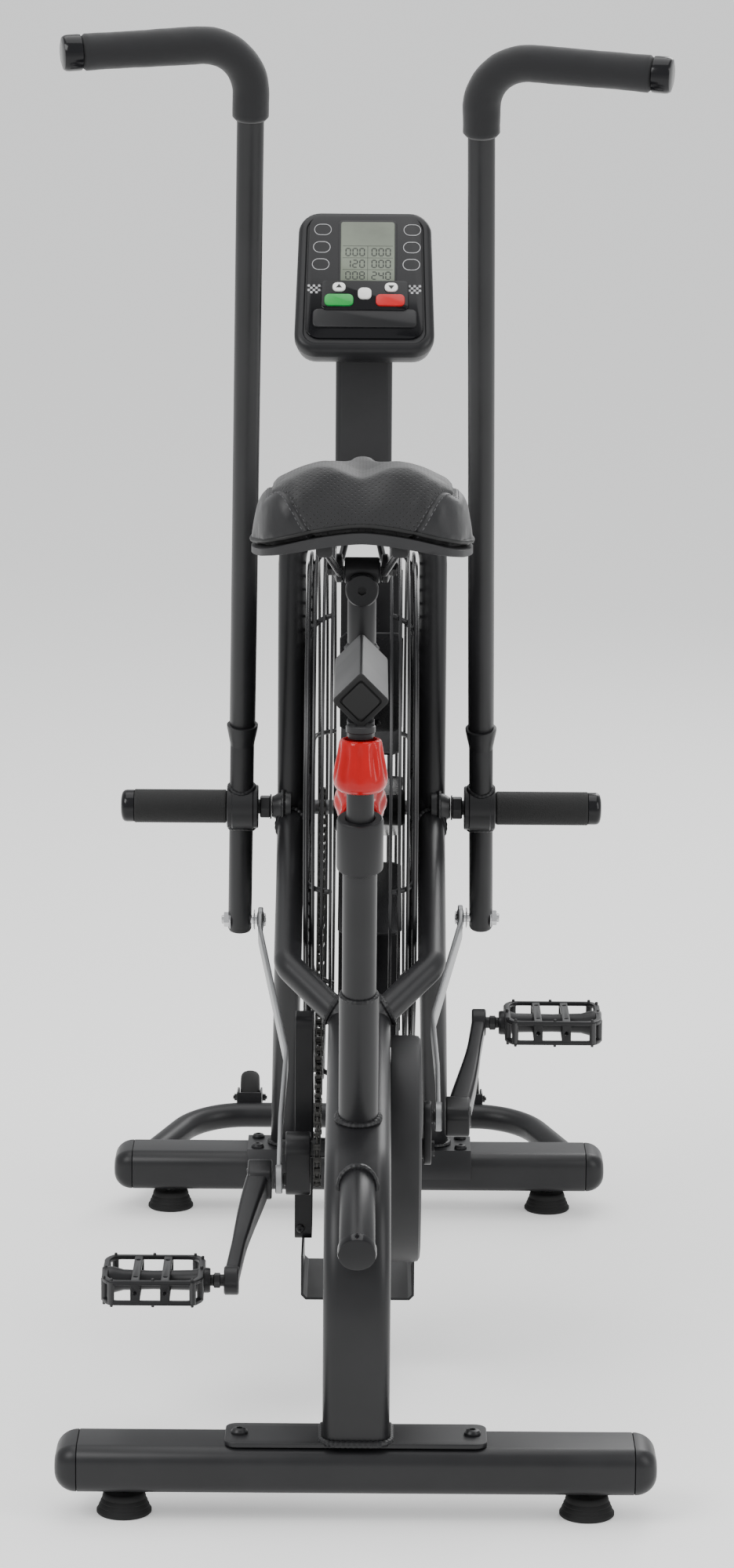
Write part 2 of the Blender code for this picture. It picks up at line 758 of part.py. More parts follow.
def arm_outline(start, end, start_radius, end_radius, steps=8):
    """The outline of a flat arm with round ends."""
    (y0, z0), (y1, z1) = start, end
    heading = math.atan2(z1 - z0, y1 - y0)
    spread = math.acos((start_radius - end_radius) / math.hypot(y1 - y0, z1 - z0))
    outline = []
    for y, z, radius, low, high in (
        (y0, z0, start_radius, heading + spread, heading + math.tau - spread),
        (y1, z1, end_radius, heading - spread, heading + spread),
    ):
        for step in range(steps + 1):
            angle = low + (high - low) * step / steps
            outline.append((y + radius * math.cos(angle), z + radius * math.sin(angle)))
    return outline


def crankset():
    axis = pivot("crank_pivot", place(0, CRANK_Y, CRANK_Z))
    rod("crank_spindle", (-0.0740, 0, 0), (0.0740, 0, 0), 0.0105, "steel_dark", parent=axis)
    chainring = chain_wheel("chainring", CHAINRING_TEETH, 0.0109)
    chainring.parent = axis
    for side_name, side in SIDES:
        turn = 0.0 if side > 0 else math.pi
        pin = crank_point(PIN_RADIUS, CRANK_REST + PIN_LEAD + turn)
        pedal = crank_point(PEDAL_RADIUS, CRANK_REST + turn)
        inner = crank_inner(side_name, side, pin)
        inner.parent = axis
        outer = crank_outer(side_name, side, pin, pedal)
        outer.parent = axis
        pedal_body(side_name, side, pedal)


def crank_inner(side_name, side, pin):
    """The short arm from the spindle to the link's pin. The left one is the deeper of the two."""
    near, far = (0.0665, 0.0745) if side > 0 else (0.0490, 0.0745)
    low, high = sorted((side * near, side * far))
    arm = flat(f"crank_inner_{side_name}", [arm_outline((0, 0), pin, 0.0165, 0.0160)], low, high, "steel_dark")
    return cut(arm, rod("bore", (low - 0.01, 0, 0), (high + 0.01, 0, 0), 0.0109, "steel_dark"))


def crank_outer(side_name, side, pin, pedal):
    """The pedal arm: a boss beside the link, then a tapering arm that leans outwards to the pedal's eye."""
    rings = []
    start, end = Vector((side * 0.1010, *pin)), Vector((side * 0.1260, *pedal))
    along = (Vector((0, *pedal)) - Vector((0, *pin))).normalized()
    square = Vector((1, 0, 0)).cross(along)
    for share, half_wide, half_deep in ((0.0, 0.0150, 0.0120), (0.25, 0.0115, 0.0105), (0.7, 0.0090, 0.0075),
                                        (1.0, 0.0100, 0.0065)):
        outline = rounded_rectangle(2 * half_wide, 2 * half_deep, half_deep * 0.5, steps=2)
        centre = start.lerp(end, share)
        rings.append([centre + square * a + Vector((b, 0, 0)) for a, b in outline])
    arm = lofted(f"crank_outer_{side_name}", rings, "steel_dark")
    boss = rod("boss", (side * 0.0885, *pin), (side * 0.1135, *pin), 0.0175, "steel_dark")
    eye = rod("eye", (side * 0.1180, *pedal), (side * 0.1330, *pedal), 0.0145, "steel_dark")
    axle = rod("pedal_axle", (side * 0.1250, *pedal), (side * 0.2480, *pedal), 0.0060, "steel_dark")
    return join(arm, boss, eye, axle)


def pedal_body(side_name, side, pedal):
    """The platform: a frame of plates round the axle's barrel."""
    carrier = pivot(f"pedal_{side_name}_pivot", place(0, CRANK_Y + pedal[0], CRANK_Z + pedal[1]))
    middle = side * 0.2030
    half_x, half_y, half_z = 0.0510, 0.0470, 0.0130
    block = box(
        f"pedal_{side_name}",
        (middle - half_x, -half_y, -half_z),
        (middle + half_x, half_y, half_z),
        "plastic_black",
    )
    corners = [
        rod("corner_cut", (middle + sx * (half_x + 0.010), sy * (half_y + 0.010), -0.03),
            (middle + sx * (half_x + 0.010), sy * (half_y + 0.010), 0.03), 0.026, "plastic_black", sides=12)
        for sx in (-1, 1)
        for sy in (-1, 1)
    ]
    windows = [
        box("window", (middle - half_x + 0.009, sign * 0.0120, -0.03), (middle + half_x - 0.009, sign * 0.0400, 0.03),
            "plastic_black")
        for sign in (-1, 1)
    ]
    body = cut(block, *corners, *[ordered(window) for window in windows])
    barrel = rod("barrel", (middle - half_x - 0.006, 0, 0), (middle + half_x - 0.004, 0, 0), 0.0125, "plastic_black")
    body = join(body, barrel)
    body = cut(body, rod("bore", (middle - 0.08, 0, 0), (middle + 0.08, 0, 0), 0.0070, "plastic_black"))
    body.parent = carrier


def ordered(window):
    """A block whose corners were given in either order, with its faces put outwards."""
    shape = bmesh.new()
    shape.from_mesh(window.data)
    bmesh.ops.recalc_face_normals(shape, faces=shape.faces)
    shape.to_mesh(window.data)
    shape.free()
    return window


def pin_place(turn):
    """(y, z) of a crank pin, measured from the rear stabilizer and the floor."""
    y, z = crank_point(PIN_RADIUS, CRANK_REST + PIN_LEAD + turn)
    return Vector((CRANK_Y + y, CRANK_Z + z))


def handle_lean(pin):
    """How far an arm leans back when its lever's end is one link length from the crank pin."""
    axle = Vector((AXLE_Y, AXLE_Z))
    to_pin = pin - axle
    distance = to_pin.length
    inner = math.acos((LEVER_LENGTH**2 + distance**2 - LINK_LENGTH**2) / (2 * LEVER_LENGTH * distance))
    heading = math.atan2(to_pin.y, to_pin.x) % math.tau
    return heading + inner - 1.5 * math.pi


def tube_x(height):
    """How far out an arm's tube is at this height above its pivot: it leans in a little towards the top."""
    return HUB_X + 0.0015 - 0.0145 * height / GRIP_HEIGHT


def handle(side_name, side):
    turn = 0.0 if side > 0 else math.pi
    pin = pin_place(turn)
    lean = handle_lean(pin)
    arm = pivot(f"handle_{side_name}_pivot", place(0, AXLE_Y, AXLE_Z), lean)
    swage = 0.080

    def up(height, back=0.0, out=None):
        return Vector((side * (tube_x(height) if out is None else out), -back, height))

    lower = tube(f"handle_lower_{side_name}", [up(-LEVER_LENGTH - 0.012), up(swage + 0.004)], LOWER_RADIUS,
                 "powder_black")
    flare = rod("flare", up(swage - 0.006), up(swage + 0.018), LOWER_RADIUS, "powder_black", end_radius=0.0168)
    hub = rod("hub", (side * 0.1123, 0, 0), (side * 0.1466, 0, 0), 0.0250, "powder_black")
    link_pin = rod("link_pin", (side * 0.1050, 0, -LEVER_LENGTH), (side * 0.1530, 0, -LEVER_LENGTH), 0.0048,
                   "powder_black")
    spacer = rod("spacer", (side * 0.1160, 0, -LEVER_LENGTH), (side * 0.1300, 0, -LEVER_LENGTH), 0.0120,
                 "powder_black")
    lower = join(lower, flare, hub, link_pin, spacer)
    lower = cut(lower, rod("bore", (side * 0.10, 0, 0), (side * 0.16, 0, 0), 0.0086, "powder_black"))
    lower.parent = arm

    path = bent([up(swage + 0.018 + GAP), up(GRIP_HEIGHT), up(GRIP_HEIGHT, 0.045, GRIP_X - 0.0085)], 0.052, 5)
    upper = tube(f"handle_upper_{side_name}", path, HANDLE_RADIUS, "powder_black")
    upper.parent = arm

    foam_path = [up(0.776)] + path[1:-1] + [path[-1] - (path[-1] - path[-2]).normalized() * 0.0130]
    foam = tube(f"grip_{side_name}", foam_path, GRIP_RADIUS, "foam_black")
    foam = cut(foam, tube("grip_bore", path, HANDLE_RADIUS + GAP, "foam_black"))
    foam.parent = arm

    outward = (path[-1] - path[-2]).normalized()
    cap = rod(f"grip_cap_{side_name}", foam_path[-1] + outward * GAP, path[-1] + outward * 0.0065, 0.0185,
              "gloss_black")
    cap = cut(cap, rod("cap_bore", foam_path[-1] - outward * 0.01, path[-1] + outward * GAP, HANDLE_RADIUS + 3 * GAP,
                       "gloss_black"))
    cap.parent = arm
    link(side_name, side, arm, lean, pin)


def link(side_name, side, arm, lean, pin):
    """The flat bar from an arm's lever to the crank pin, cranked sideways along its length."""
    joint = pivot(f"link_{side_name}_pivot", (0, 0, -LEVER_LENGTH), parent=arm)
    bpy.context.view_layer.update()
    lever_end = joint.matrix_world.translation
    target = place(0, *pin)
    along = Vector((0, target.y - lever_end.y, target.z - lever_end.z))
    heading = math.atan2(along.z, along.y)
    length = along.length
    half = 0.0020
    bends = ((0.0, 0.1105), (0.055, 0.1105), (0.55, 0.0770), (0.80, 0.0815), (1.0, 0.0815))
    outer = [(share * length, x + half) for share, x in bends]
    inner = [(share * length, x - half) for share, x in reversed(bends)]
    rings = []
    for edge in (-0.0115, 0.0115):
        rings.append([Vector((side * x, distance, edge)) for distance, x in outer + inner])
    bar = lofted(f"link_{side_name}", rings, "steel_plate")
    upper_eye = rod("eye", (side * 0.1075, 0, 0), (side * 0.1135, 0, 0), 0.0140, "steel_plate")
    lower_eye = rod("eye", (side * 0.0775, length, 0), (side * 0.0855, length, 0), 0.0150, "steel_plate")
    bar = join(bar, upper_eye, lower_eye)
    bar = cut(
        bar,
        rod("bore", (side * 0.10, 0, 0), (side * 0.12, 0, 0), 0.0055, "steel_plate"),
    )
    bar.parent = joint
    bar.matrix_parent_inverse = Matrix.Identity(4)
    bar.matrix_basis = Matrix.Rotation(heading - lean, 4, "X")


def pegs():
    centre = place(0, AXLE_Y, AXLE_Z)
    for side_name, side in SIDES:
        hexagon = rod(f"pivot_bolt_{side_name}", (side * 0.0978, *centre.yz), (side * 0.1110, *centre.yz), 0.0128,
                      "steel_dark", sides=6)
        shank = rod("shank", (side * 0.1050, *centre.yz), (side * 0.1600, *centre.yz), 0.0080, "steel_dark")
        join(hexagon, shank)
        half = 0.0182
        profile = [(0.0, 0.1155), (half * 0.8, 0.1155), (half, 0.1130), (half, 0.0), (0.0085, 0.0), (0.0085, 0.020),
                   (0.0, 0.020)]
        turned(f"foot_peg_{side_name}", profile, "plastic_black", at=(side * 0.1470, *centre.yz),
               turn=(0, side * math.pi / 2, 0))


def seat_post():
    """The post with the square guide tube welded across its top."""
    start, end = seat_axis(0.440), seat_axis(0.756)
    post = rod("seat_post", start, end, POST_RADIUS, "powder_black")
    length, centre_z = 0.232, 0.781
    guide = diamond("guide", 0.0186, 0.0186 + length, centre_z, 0.0190, "powder_black")
    room = diamond("guide_cut", 0.0260, 0.30, centre_z, 0.0142, "powder_black")
    boss = rod("knob_boss", place(0, 0.0225, 0.7465), place(0, 0.0225, 0.765), 0.0125, "powder_black")
    made = join(post, guide, boss)
    return cut(made, room)


def diamond(name, rear, front, height, half_side, material):
    """A square bar along Y, standing on one of its edges."""
    reach = half_side * math.sqrt(2)
    corners = ((reach, 0), (0, reach), (-reach, 0), (0, -reach))
    rings = [[place(x, y, height + z) for x, z in corners] for y in (rear, front)]
    return lofted(name, rings, material)


def knob_profile(height):
    """A waisted grip knob, from its narrow neck down to its domed end."""
    return [
        (0.0, 0.0),
        (0.0140, 0.0),
        (0.0165, -0.0030),
        (0.0190, -0.0180),
        (0.0255, -height * 0.66),
        (0.0250, -height * 0.82),
        (0.0190, -height * 0.96),
        (0.0, -height),
    ]


def knobs():
    knob_height = 0.0515
    turned("slider_knob", knob_profile(knob_height), "knob_red", at=place(0, 0.0185, 0.7460))
    out = pin_direction()
    start = seat_axis(0.648)
    lying = Vector((0, 0, -1)).rotation_difference(out).to_euler()
    body = baked(turned("post_knob", knob_profile(knob_height), "knob_red", at=start + out * 0.0284, turn=lying))
    pin = rod("pin", start + out * (POST_RADIUS + 0.0004), start + out * 0.030, 0.0040, "knob_red")
    join(body, pin)


def seat_slider():
    """The inner square tube, its riser and the clamp barrel that holds the saddle's rails."""
    bar = diamond("seat_slider", 0.0800, 0.3220, 0.781, 0.0136, "powder_black")
    riser = rod("riser", place(0, 0.300, 0.775), place(0, 0.300, 0.858), 0.0142, "powder_black")
    barrel = rod("barrel", place(-0.0175, 0.300, 0.862), place(0.0175, 0.300, 0.862), 0.0130, "powder_black")
    disc = rod("disc", place(0, 0.290, 0.845), place(0, 0.2740, 0.845), 0.0165, "powder_black")
    return join(bar, riser, barrel, disc)


def saddle_half_width(share):
    """Half the saddle's width, from its tail (0) to its nose (1)."""
    if share < 0.32:
        return 0.110 * (0.86 + 0.14 * math.sin(math.pi / 2 * share / 0.32))
    ease = (1 + math.cos(math.pi * min((share - 0.32) / 0.50, 1.0))) / 2
    nose = 0.026 * math.sqrt(max(1.0 - max(share - 0.86, 0.0) ** 2 / 0.0196, 0.25))
    return nose + (0.110 - 0.026) * ease


def saddle_underside(share, x):
    """The height of the cushion's underside: it falls towards both edges."""
    return 0.921 - 0.004 * share - 0.022 * (abs(x) / 0.110) ** 1.6


def cushion_section(share):
    """One closed section of the cushion across X: its crowned top falls to a low side wall."""
    wide = saddle_half_width(share)
    y = SADDLE_TAIL + (SADDLE_NOSE - SADDLE_TAIL) * share
    thick = 0.066 - 0.016 * share - 0.016 * max(0.0, 0.06 - share) / 0.06
    outline = []
    for step in range(2 * SADDLE_STEPS + 1):
        x = wide * (step / SADDLE_STEPS - 1)
        outline.append(place(x, y, saddle_underside(share, x)))
    for step in range(2 * SADDLE_STEPS + 1):
        across = 1 - step / SADDLE_STEPS
        x = 0.985 * wide * across
        rise = 0.004 + (thick - 0.004) * (1 - 0.72 * across**4)
        outline.append(place(x, y, saddle_underside(share, x) + rise))
    return outline


def pan_section(share):
    """One closed section of the pan, which lies under the cushion like a shell."""
    wide = saddle_half_width(share) - 0.006
    y = SADDLE_TAIL + (SADDLE_NOSE - SADDLE_TAIL) * share
    xs = [wide * (step / SADDLE_STEPS - 1) for step in range(2 * SADDLE_STEPS + 1)]
    outline = [place(x, y, saddle_underside(share, x) - 0.0125) for x in xs]
    return outline + [place(x, y, saddle_underside(share, x) - 0.0008) for x in reversed(xs)]


def saddle():
    tilt = pivot("saddle_pivot", place(0, 0.300, 0.862))
    bpy.context.view_layer.update()
    shares = [0.0, 0.06, 0.16, 0.30, 0.45, 0.60, 0.75, 0.90, 1.0]
    cushion = lofted("saddle_cushion", [cushion_section(share) for share in shares], "vinyl_black")
    pan = lofted("saddle_pan", [pan_section(share) for share in shares], "plastic_grey")
    rails = saddle_rails()
    pan = cut(pan, diamond_room())
    for piece in (cushion, pan, rails):
        matrix = piece.matrix_world.copy()
        piece.parent = tilt
        piece.matrix_parent_inverse = tilt.matrix_world.inverted()
        piece.matrix_world = matrix


def diamond_room():
    """Room under the pan for the rails' two ends."""
    return box("rail_room", place(-0.060, 0.150, 0.880), place(0.060, 0.400, 0.9045), "plastic_grey")


def saddle_rails():
    """Two bent rods with the clamp's outer jaws, and the cross rods that join them under the pan."""
    rods = []
    for _, side in SIDES:
        points = [
            place(side * 0.036, 0.178, 0.8990),
            place(side * 0.0215, 0.262, 0.8640),
            place(side * 0.0215, 0.338, 0.8640),
            place(side * 0.0120, 0.385, 0.8990),
        ]
        rods.append(tube("rail", bent(points, 0.020, 2), 0.0035, "steel_dark", resolution=1))
    for y, half in ((0.178, 0.0400), (0.385, 0.0160)):
        rods.append(rod("cross", place(-half, y, 0.8990), place(half, y, 0.8990), 0.0040, "steel_dark", sides=8))
    for _, side in SIDES:
        rods.append(
            rod("jaw", place(side * 0.0190, 0.300, 0.864), place(side * 0.0330, 0.300, 0.864), 0.0140, "steel_dark",
                sides=10)
        )
    first = rods[2]
    first.name = "saddle_rails"
    return join(first, rods[0], rods[1], *rods[3:])


clear_scene()
BIKE = make_collection("air_bike", hidden=False)
CUTTERS = make_collection("cutters", hidden=True)

main_frame()
stabilizers()
wheel_bar()
transport_wheels()
lift_handle_cap()
console_mast()
console()
for half_name, half_side in SIDES:
    cage_half(f"cage_{half_name}", half_side)
fan()
drive_chain()
chain_guard()
crank_cover()
crankset()
for arm_name, arm_side in SIDES:
    handle(arm_name, arm_side)
pegs()
seat_post()
knobs()
seat_slider()
saddle()
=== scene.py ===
"""The air bike's looks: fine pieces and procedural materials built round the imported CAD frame.

+X is the rider's right, +Y is forwards and +Z is up. Lengths are in metres, apart from the profiles of
turned shapes, which are in millimetres. Places along the bike are measured forwards from the rear
stabilizer's centre line. Every mesh is made in the bike's own frame, with its object at the origin.
"""

import json
import math

import bmesh
import bpy
import numpy as np
from mathutils import Matrix, Vector, noise
from mathutils.bvhtree import BVHTree


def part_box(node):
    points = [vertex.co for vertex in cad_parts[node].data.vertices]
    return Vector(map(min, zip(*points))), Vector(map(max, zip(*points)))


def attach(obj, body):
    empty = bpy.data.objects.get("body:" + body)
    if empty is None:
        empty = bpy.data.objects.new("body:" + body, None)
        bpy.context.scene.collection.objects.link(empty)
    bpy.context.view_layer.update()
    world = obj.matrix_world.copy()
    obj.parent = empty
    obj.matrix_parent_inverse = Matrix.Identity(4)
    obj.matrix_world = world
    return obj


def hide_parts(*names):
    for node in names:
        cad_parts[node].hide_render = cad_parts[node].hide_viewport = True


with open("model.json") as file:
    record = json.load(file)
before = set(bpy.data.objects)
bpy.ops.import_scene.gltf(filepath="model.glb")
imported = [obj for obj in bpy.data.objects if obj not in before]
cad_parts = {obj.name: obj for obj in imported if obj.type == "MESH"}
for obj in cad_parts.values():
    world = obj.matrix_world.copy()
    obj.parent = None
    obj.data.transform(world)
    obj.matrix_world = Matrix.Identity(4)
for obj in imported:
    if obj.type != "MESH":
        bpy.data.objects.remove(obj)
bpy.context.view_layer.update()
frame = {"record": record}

MM = 0.001
X, Y, Z = Vector((1, 0, 0)), Vector((0, 1, 0)), Vector((0, 0, 1))
SIDES = (("left", -1), ("right", 1))
JOINTS = {joint["name"]: joint for joint in frame["record"]["behaviour"]["joints"]}


def corners(node):
    """A CAD node's lowest and highest corners, and its middle."""
    low, high = (Vector(corner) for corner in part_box(node))
    return low, high, (low + high) / 2


def joint_place(name):
    return Vector(JOINTS[name]["pos_m"])


REAR_Y = corners("rear_stabilizer")[2].y
FRONT_Y = corners("front_stabilizer")[2].y - REAR_Y
AXLE = joint_place("fan_spin")
CRANK = joint_place("crank_spin")


def place(x, y, z):
    return Vector((x, REAR_Y + y, z))


# Materials


def fill(node, **inputs):
    """Sets a shader node's inputs. An underscore stands for a space in an input's name."""
    for name, value in inputs.items():
        node.inputs[name.replace("_", " ")].default_value = value
    return node


def look(name, colour, roughness, grain, metallic=0.0, cells=False, coat=0.0, edge_wear_and_highlight=None, sheen=0.0,
         streak=(1, 1, 1), shine=0.32, holes=None):
    """A finish whose colour and roughness drift a little, with a fine grain and, given an edge colour,
    lighter convex edges, which paint an edge highlight on the powder coat and show wear on the forged steel.

    grain is its noise's scale and its depth in micrometres, cells makes it pebbled, streak stretches it, the
    edge colour is what convex edges take (a painted edge highlight on the powder coat, edge wear on the
    forged steel), and holes is the pitch and radius of rows of small dark holes.
    """
    grain_scale, grain_depth = grain
    made = bpy.data.materials.new(name)
    made.use_nodes = True
    tree = made.node_tree
    shader = tree.nodes["Principled BSDF"]

    def add(kind, **inputs):
        node = tree.nodes.new("ShaderNode" + kind)
        if kind == "Mix":
            node.data_type = "RGBA"
        return fill(node, **inputs)

    def link(source, output, target, socket):
        tree.links.new(source.outputs[output], target.inputs[socket])

    stretch = add("Mapping", Scale=streak)
    link(add("TexCoord"), "Object", stretch, "Vector")
    drift = add("TexNoise", Scale=14, Detail=5)
    link(stretch, "Vector", drift, "Vector")
    shades = add("ValToRGB")
    for element, at, share in zip(shades.color_ramp.elements, (0.3, 0.7), (0.78, 1.24)):
        element.position = at
        element.color = (*[min(c * share, 1.0) for c in colour], 1)
    link(drift, "Fac", shades, "Fac")
    base = (shades, "Color")

    # Convex edges, found by pointiness, take a lighter colour: a painted edge highlight on the powder coat,
    # edge wear on the forged steel.
    if edge_wear_and_highlight:
        mask = add("MapRange", From_Min=0.56, From_Max=0.72, To_Max=0.55)
        link(add("NewGeometry"), "Pointiness", mask, "Value")
        mix = add("Mix", B=(*edge_wear_and_highlight, 1))
        link(mask, "Result", mix, "Factor")
        link(*base, mix, "A")
        base = (mix, "Result")

    gloss = add("MapRange", To_Min=roughness * 0.85, To_Max=min(roughness * 1.2, 1.0))
    link(drift, "Fac", gloss, "Value")
    link(gloss, "Result", shader, "Roughness")
    fill(shader, Metallic=metallic, Specular_IOR_Level=shine, Coat_Weight=coat, Coat_Roughness=0.08,
         Sheen_Weight=sheen)

    fine = add("TexVoronoi" if cells else "TexNoise", Scale=grain_scale)
    link(stretch, "Vector", fine, "Vector")
    bump = add("Bump", Strength=0.6, Distance=grain_depth / 1e6)
    link(fine, "Distance" if cells else "Fac", bump, "Height")

    if holes:
        pitch, radius = holes
        split, total, join = add("SeparateXYZ"), add("Math"), add("CombineXYZ")
        link(add("TexCoord"), "Object", split, "Vector")
        link(split, "Y", total, 0)
        link(split, "Z", total, 1)
        link(split, "X", join, "X")
        link(total, "Value", join, "Y")
        turn = add("Mapping", Rotation=(0, 0, math.pi / 4))
        link(join, "Vector", turn, "Vector")
        rows = add("TexVoronoi", Scale=1 / pitch, Randomness=0.0)
        rows.voronoi_dimensions = "2D"
        link(turn, "Vector", rows, "Vector")
        rim = radius / pitch
        mask = add("MapRange", From_Min=rim * 0.8, From_Max=rim * 1.2)
        link(rows, "Distance", mask, "Value")
        mix = add("Mix", A=(0.003, 0.003, 0.003, 1))
        link(mask, "Result", mix, "Factor")
        link(*base, mix, "B")
        base = (mix, "Result")
        dents = add("Bump", Distance=0.0008)
        link(mask, "Result", dents, "Height")
        link(bump, "Normal", dents, "Normal")
        bump = dents
    link(*base, shader, "Base Color")
    link(bump, "Normal", shader, "Normal")
    return made


LOOKS = {
    # The powder coat's lighter edge colour is a painted edge highlight; the forged steel's is edge wear.
    "powder": look("powder_coat", (0.011, 0.011, 0.012), 0.36, grain=(2600, 50), edge_wear_and_highlight=(0.028, 0.028, 0.03)),
    "plastic": look("moulded_black", (0.008, 0.008, 0.009), 0.38, grain=(4200, 40), edge_wear_and_highlight=(0.03, 0.03, 0.03)),
    "grey": look("moulded_grey", (0.02, 0.02, 0.021), 0.5, grain=(3600, 60), edge_wear_and_highlight=(0.07, 0.07, 0.07)),
    "gloss": look("gloss_black", (0.004, 0.004, 0.005), 0.16, coat=0.1, grain=(300, 10), shine=0.22),
    "rubber": look("black_rubber", (0.009, 0.009, 0.009), 0.72, grain=(5200, 80), edge_wear_and_highlight=(0.04, 0.04, 0.04)),
    "knurl": look("knurled_rubber", (0.009, 0.009, 0.009), 0.6, grain=(620, 400), cells=True),
    "foam": look("closed_foam", (0.008, 0.008, 0.009), 0.85, grain=(1500, 160), cells=True, sheen=0.25),
    "vinyl": look("grained_vinyl", (0.01, 0.01, 0.011), 0.42, grain=(1150, 130), cells=True, sheen=0.1),
    "mesh": look("perforated_vinyl", (0.011, 0.011, 0.012), 0.55, grain=(1150, 80), cells=True, sheen=0.2,
                 holes=(0.0046, 0.0009)),
    "piping": look("welt_vinyl", (0.01, 0.01, 0.01), 0.5, grain=(2200, 60), cells=True),
    "thread": look("stitch_thread", (0.075, 0.075, 0.078), 0.8, grain=(6000, 100)),
    "forged": look("forged_black", (0.013, 0.013, 0.014), 0.32, metallic=0.2, grain=(1600, 80),
                   edge_wear_and_highlight=(0.16, 0.16, 0.16)),
    "wire": look("black_wire", (0.012, 0.012, 0.013), 0.26, metallic=0.2, grain=(1200, 30)),
    "zinc": look("zinc_plate", (0.52, 0.52, 0.53), 0.34, metallic=0.9, grain=(900, 40), streak=(1, 0.15, 1)),
    "bar": look("plated_bar", (0.33, 0.335, 0.34), 0.42, metallic=0.75, grain=(1400, 50), streak=(1, 0.1, 1)),
    "chrome": look("bright_steel", (0.62, 0.62, 0.63), 0.16, metallic=1.0, grain=(500, 20)),
    "chain": look("oiled_chain", (0.045, 0.044, 0.042), 0.36, metallic=0.85, grain=(900, 40)),
    "weld": look("painted_weld", (0.011, 0.011, 0.012), 0.4, grain=(1500, 100)),
    "red": look("red_knob", (0.36, 0.001, 0.002), 0.15, grain=(200, 20), shine=0.3),
    "key_green": look("key_green", (0.01, 0.3, 0.05), 0.35, coat=0.2, grain=(1500, 20)),
    "key_red": look("key_red", (0.45, 0.006, 0.008), 0.35, coat=0.2, grain=(1500, 20)),
    "key_white": look("key_white", (0.76, 0.76, 0.74), 0.38, coat=0.1, grain=(1500, 20)),
    "lcd": look("lcd_glass", (0.135, 0.155, 0.118), 0.2, coat=0.1, grain=(60, 10)),
    "segment": look("lcd_segment", (0.02, 0.022, 0.02), 0.4, grain=(900, 10)),
    "print": look("printed_grey", (0.42, 0.42, 0.43), 0.5, grain=(2500, 10)),
}


# Shapes: each is a list of points and a list of faces


def piece(name, shape, finish="powder", body="frame", node=None, within=None, sharp=35, bevel=0.0):
    """Makes an object of a shape, which rides on a body and may stand for a CAD node."""
    points, faces = shape
    mesh = bpy.data.meshes.new(name)
    mesh.from_pydata([tuple(p) for p in points], [], faces)
    if within:
        mesh.transform(within)
    raw = bmesh.new()
    raw.from_mesh(mesh)
    bmesh.ops.remove_doubles(raw, verts=raw.verts, dist=0.000001)
    bmesh.ops.recalc_face_normals(raw, faces=raw.faces)
    raw.to_mesh(mesh)
    raw.free()
    mesh.shade_smooth()
    mesh.set_sharp_from_angle(angle=math.radians(sharp))
    mesh.materials.append(LOOKS[finish])
    made = bpy.data.objects.new(name, mesh)
    bpy.context.scene.collection.objects.link(made)
    if bevel:
        edge = made.modifiers.new("edge", "BEVEL")
        edge.width = bevel
        edge.segments = 3
        edge.limit_method = "ANGLE"
        edge.angle_limit = math.radians(30)
        edge.harden_normals = True
    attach(made, body)
    if node:
        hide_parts(node)
    return made


def together(*shapes):
    points, faces = [], []
    for new_points, new_faces in shapes:
        start = len(points)
        points.extend(new_points)
        faces.extend([tuple(i + start for i in face) for face in new_faces])
    return points, faces


def moved(shape, matrix):
    return [matrix @ Vector(p) for p in shape[0]], shape[1]


def skin(rings, closed=False):
    """The faces between rings of as many points each; the first and last are capped unless it is closed."""
    count = len(rings[0])
    points = [p for ring in rings for p in ring]
    faces = []
    for level in range(len(rings) if closed else len(rings) - 1):
        a, b = level * count, (level + 1) % len(rings) * count
        for i in range(count):
            j = (i + 1) % count
            faces.append((a + i, a + j, b + j, b + i))
    if not closed:
        faces.append(tuple(range(count)))
        faces.append(tuple(range(len(points) - count, len(points))))
    return points, faces


def flat(outline, z):
    return [Vector((x, y, z)) for x, y in outline]


def plate(outline, low, high):
    """A sharp-edged plate between two heights."""
    return skin([flat(outline, low), flat(outline, high)])


def arc(centre, radius, low, high, steps):
    angles = [low + (high - low) * step / steps for step in range(steps + 1)]
    return [(centre[0] + radius * math.cos(a), centre[1] + radius * math.sin(a)) for a in angles]


def circle(radius, count=28, at=(0, 0)):
    return arc(at, radius, 0, math.tau, count)[:-1]


def rounded(width, height, corner, steps=7):
    """The outline of a rectangle with round corners."""
    outline = []
    for quarter, (across, up) in enumerate(((1, 1), (-1, 1), (-1, -1), (1, -1))):
        centre = (width / 2 - corner) * across, (height / 2 - corner) * up
        outline += arc(centre, corner, math.pi / 2 * quarter, math.pi / 2 * (quarter + 1), steps)
    return outline


def softened(points, radius, steps=6):
    """A closed outline with rounded corners."""
    result = []
    for i, corner in enumerate(points):
        before, here, after = Vector(points[i - 1]), Vector(corner), Vector(points[(i + 1) % len(points)])
        reach = min(radius, (before - here).length * 0.4, (after - here).length * 0.4)
        a, b = here + (before - here).normalized() * reach, here + (after - here).normalized() * reach
        for step in range(steps + 1):
            t = step / steps
            result.append(tuple(a * (1 - t) ** 2 + here * 2 * t * (1 - t) + b * t * t))
    return result


def oblong(x, half_width, half_height, soft=0.001):
    """A narrow rectangle centred on x, with softened corners."""
    left, right = x - half_width, x + half_width
    return softened([(left, -half_height), (right, -half_height), (right, half_height),
                     (left, half_height)], soft)


def round_two(a, b, radius_a, radius_b, steps=14):
    """The outline round two circles."""
    heading = math.atan2(b[1] - a[1], b[0] - a[0])
    spread = math.acos((radius_a - radius_b) / math.hypot(b[0] - a[0], b[1] - a[1]))
    return (arc(a, radius_a, heading + spread, heading + math.tau - spread, steps)
            + arc(b, radius_b, heading - spread, heading + spread, steps))


def shift(outline, y, z):
    return [(a + y, b + z) for a, b in outline]


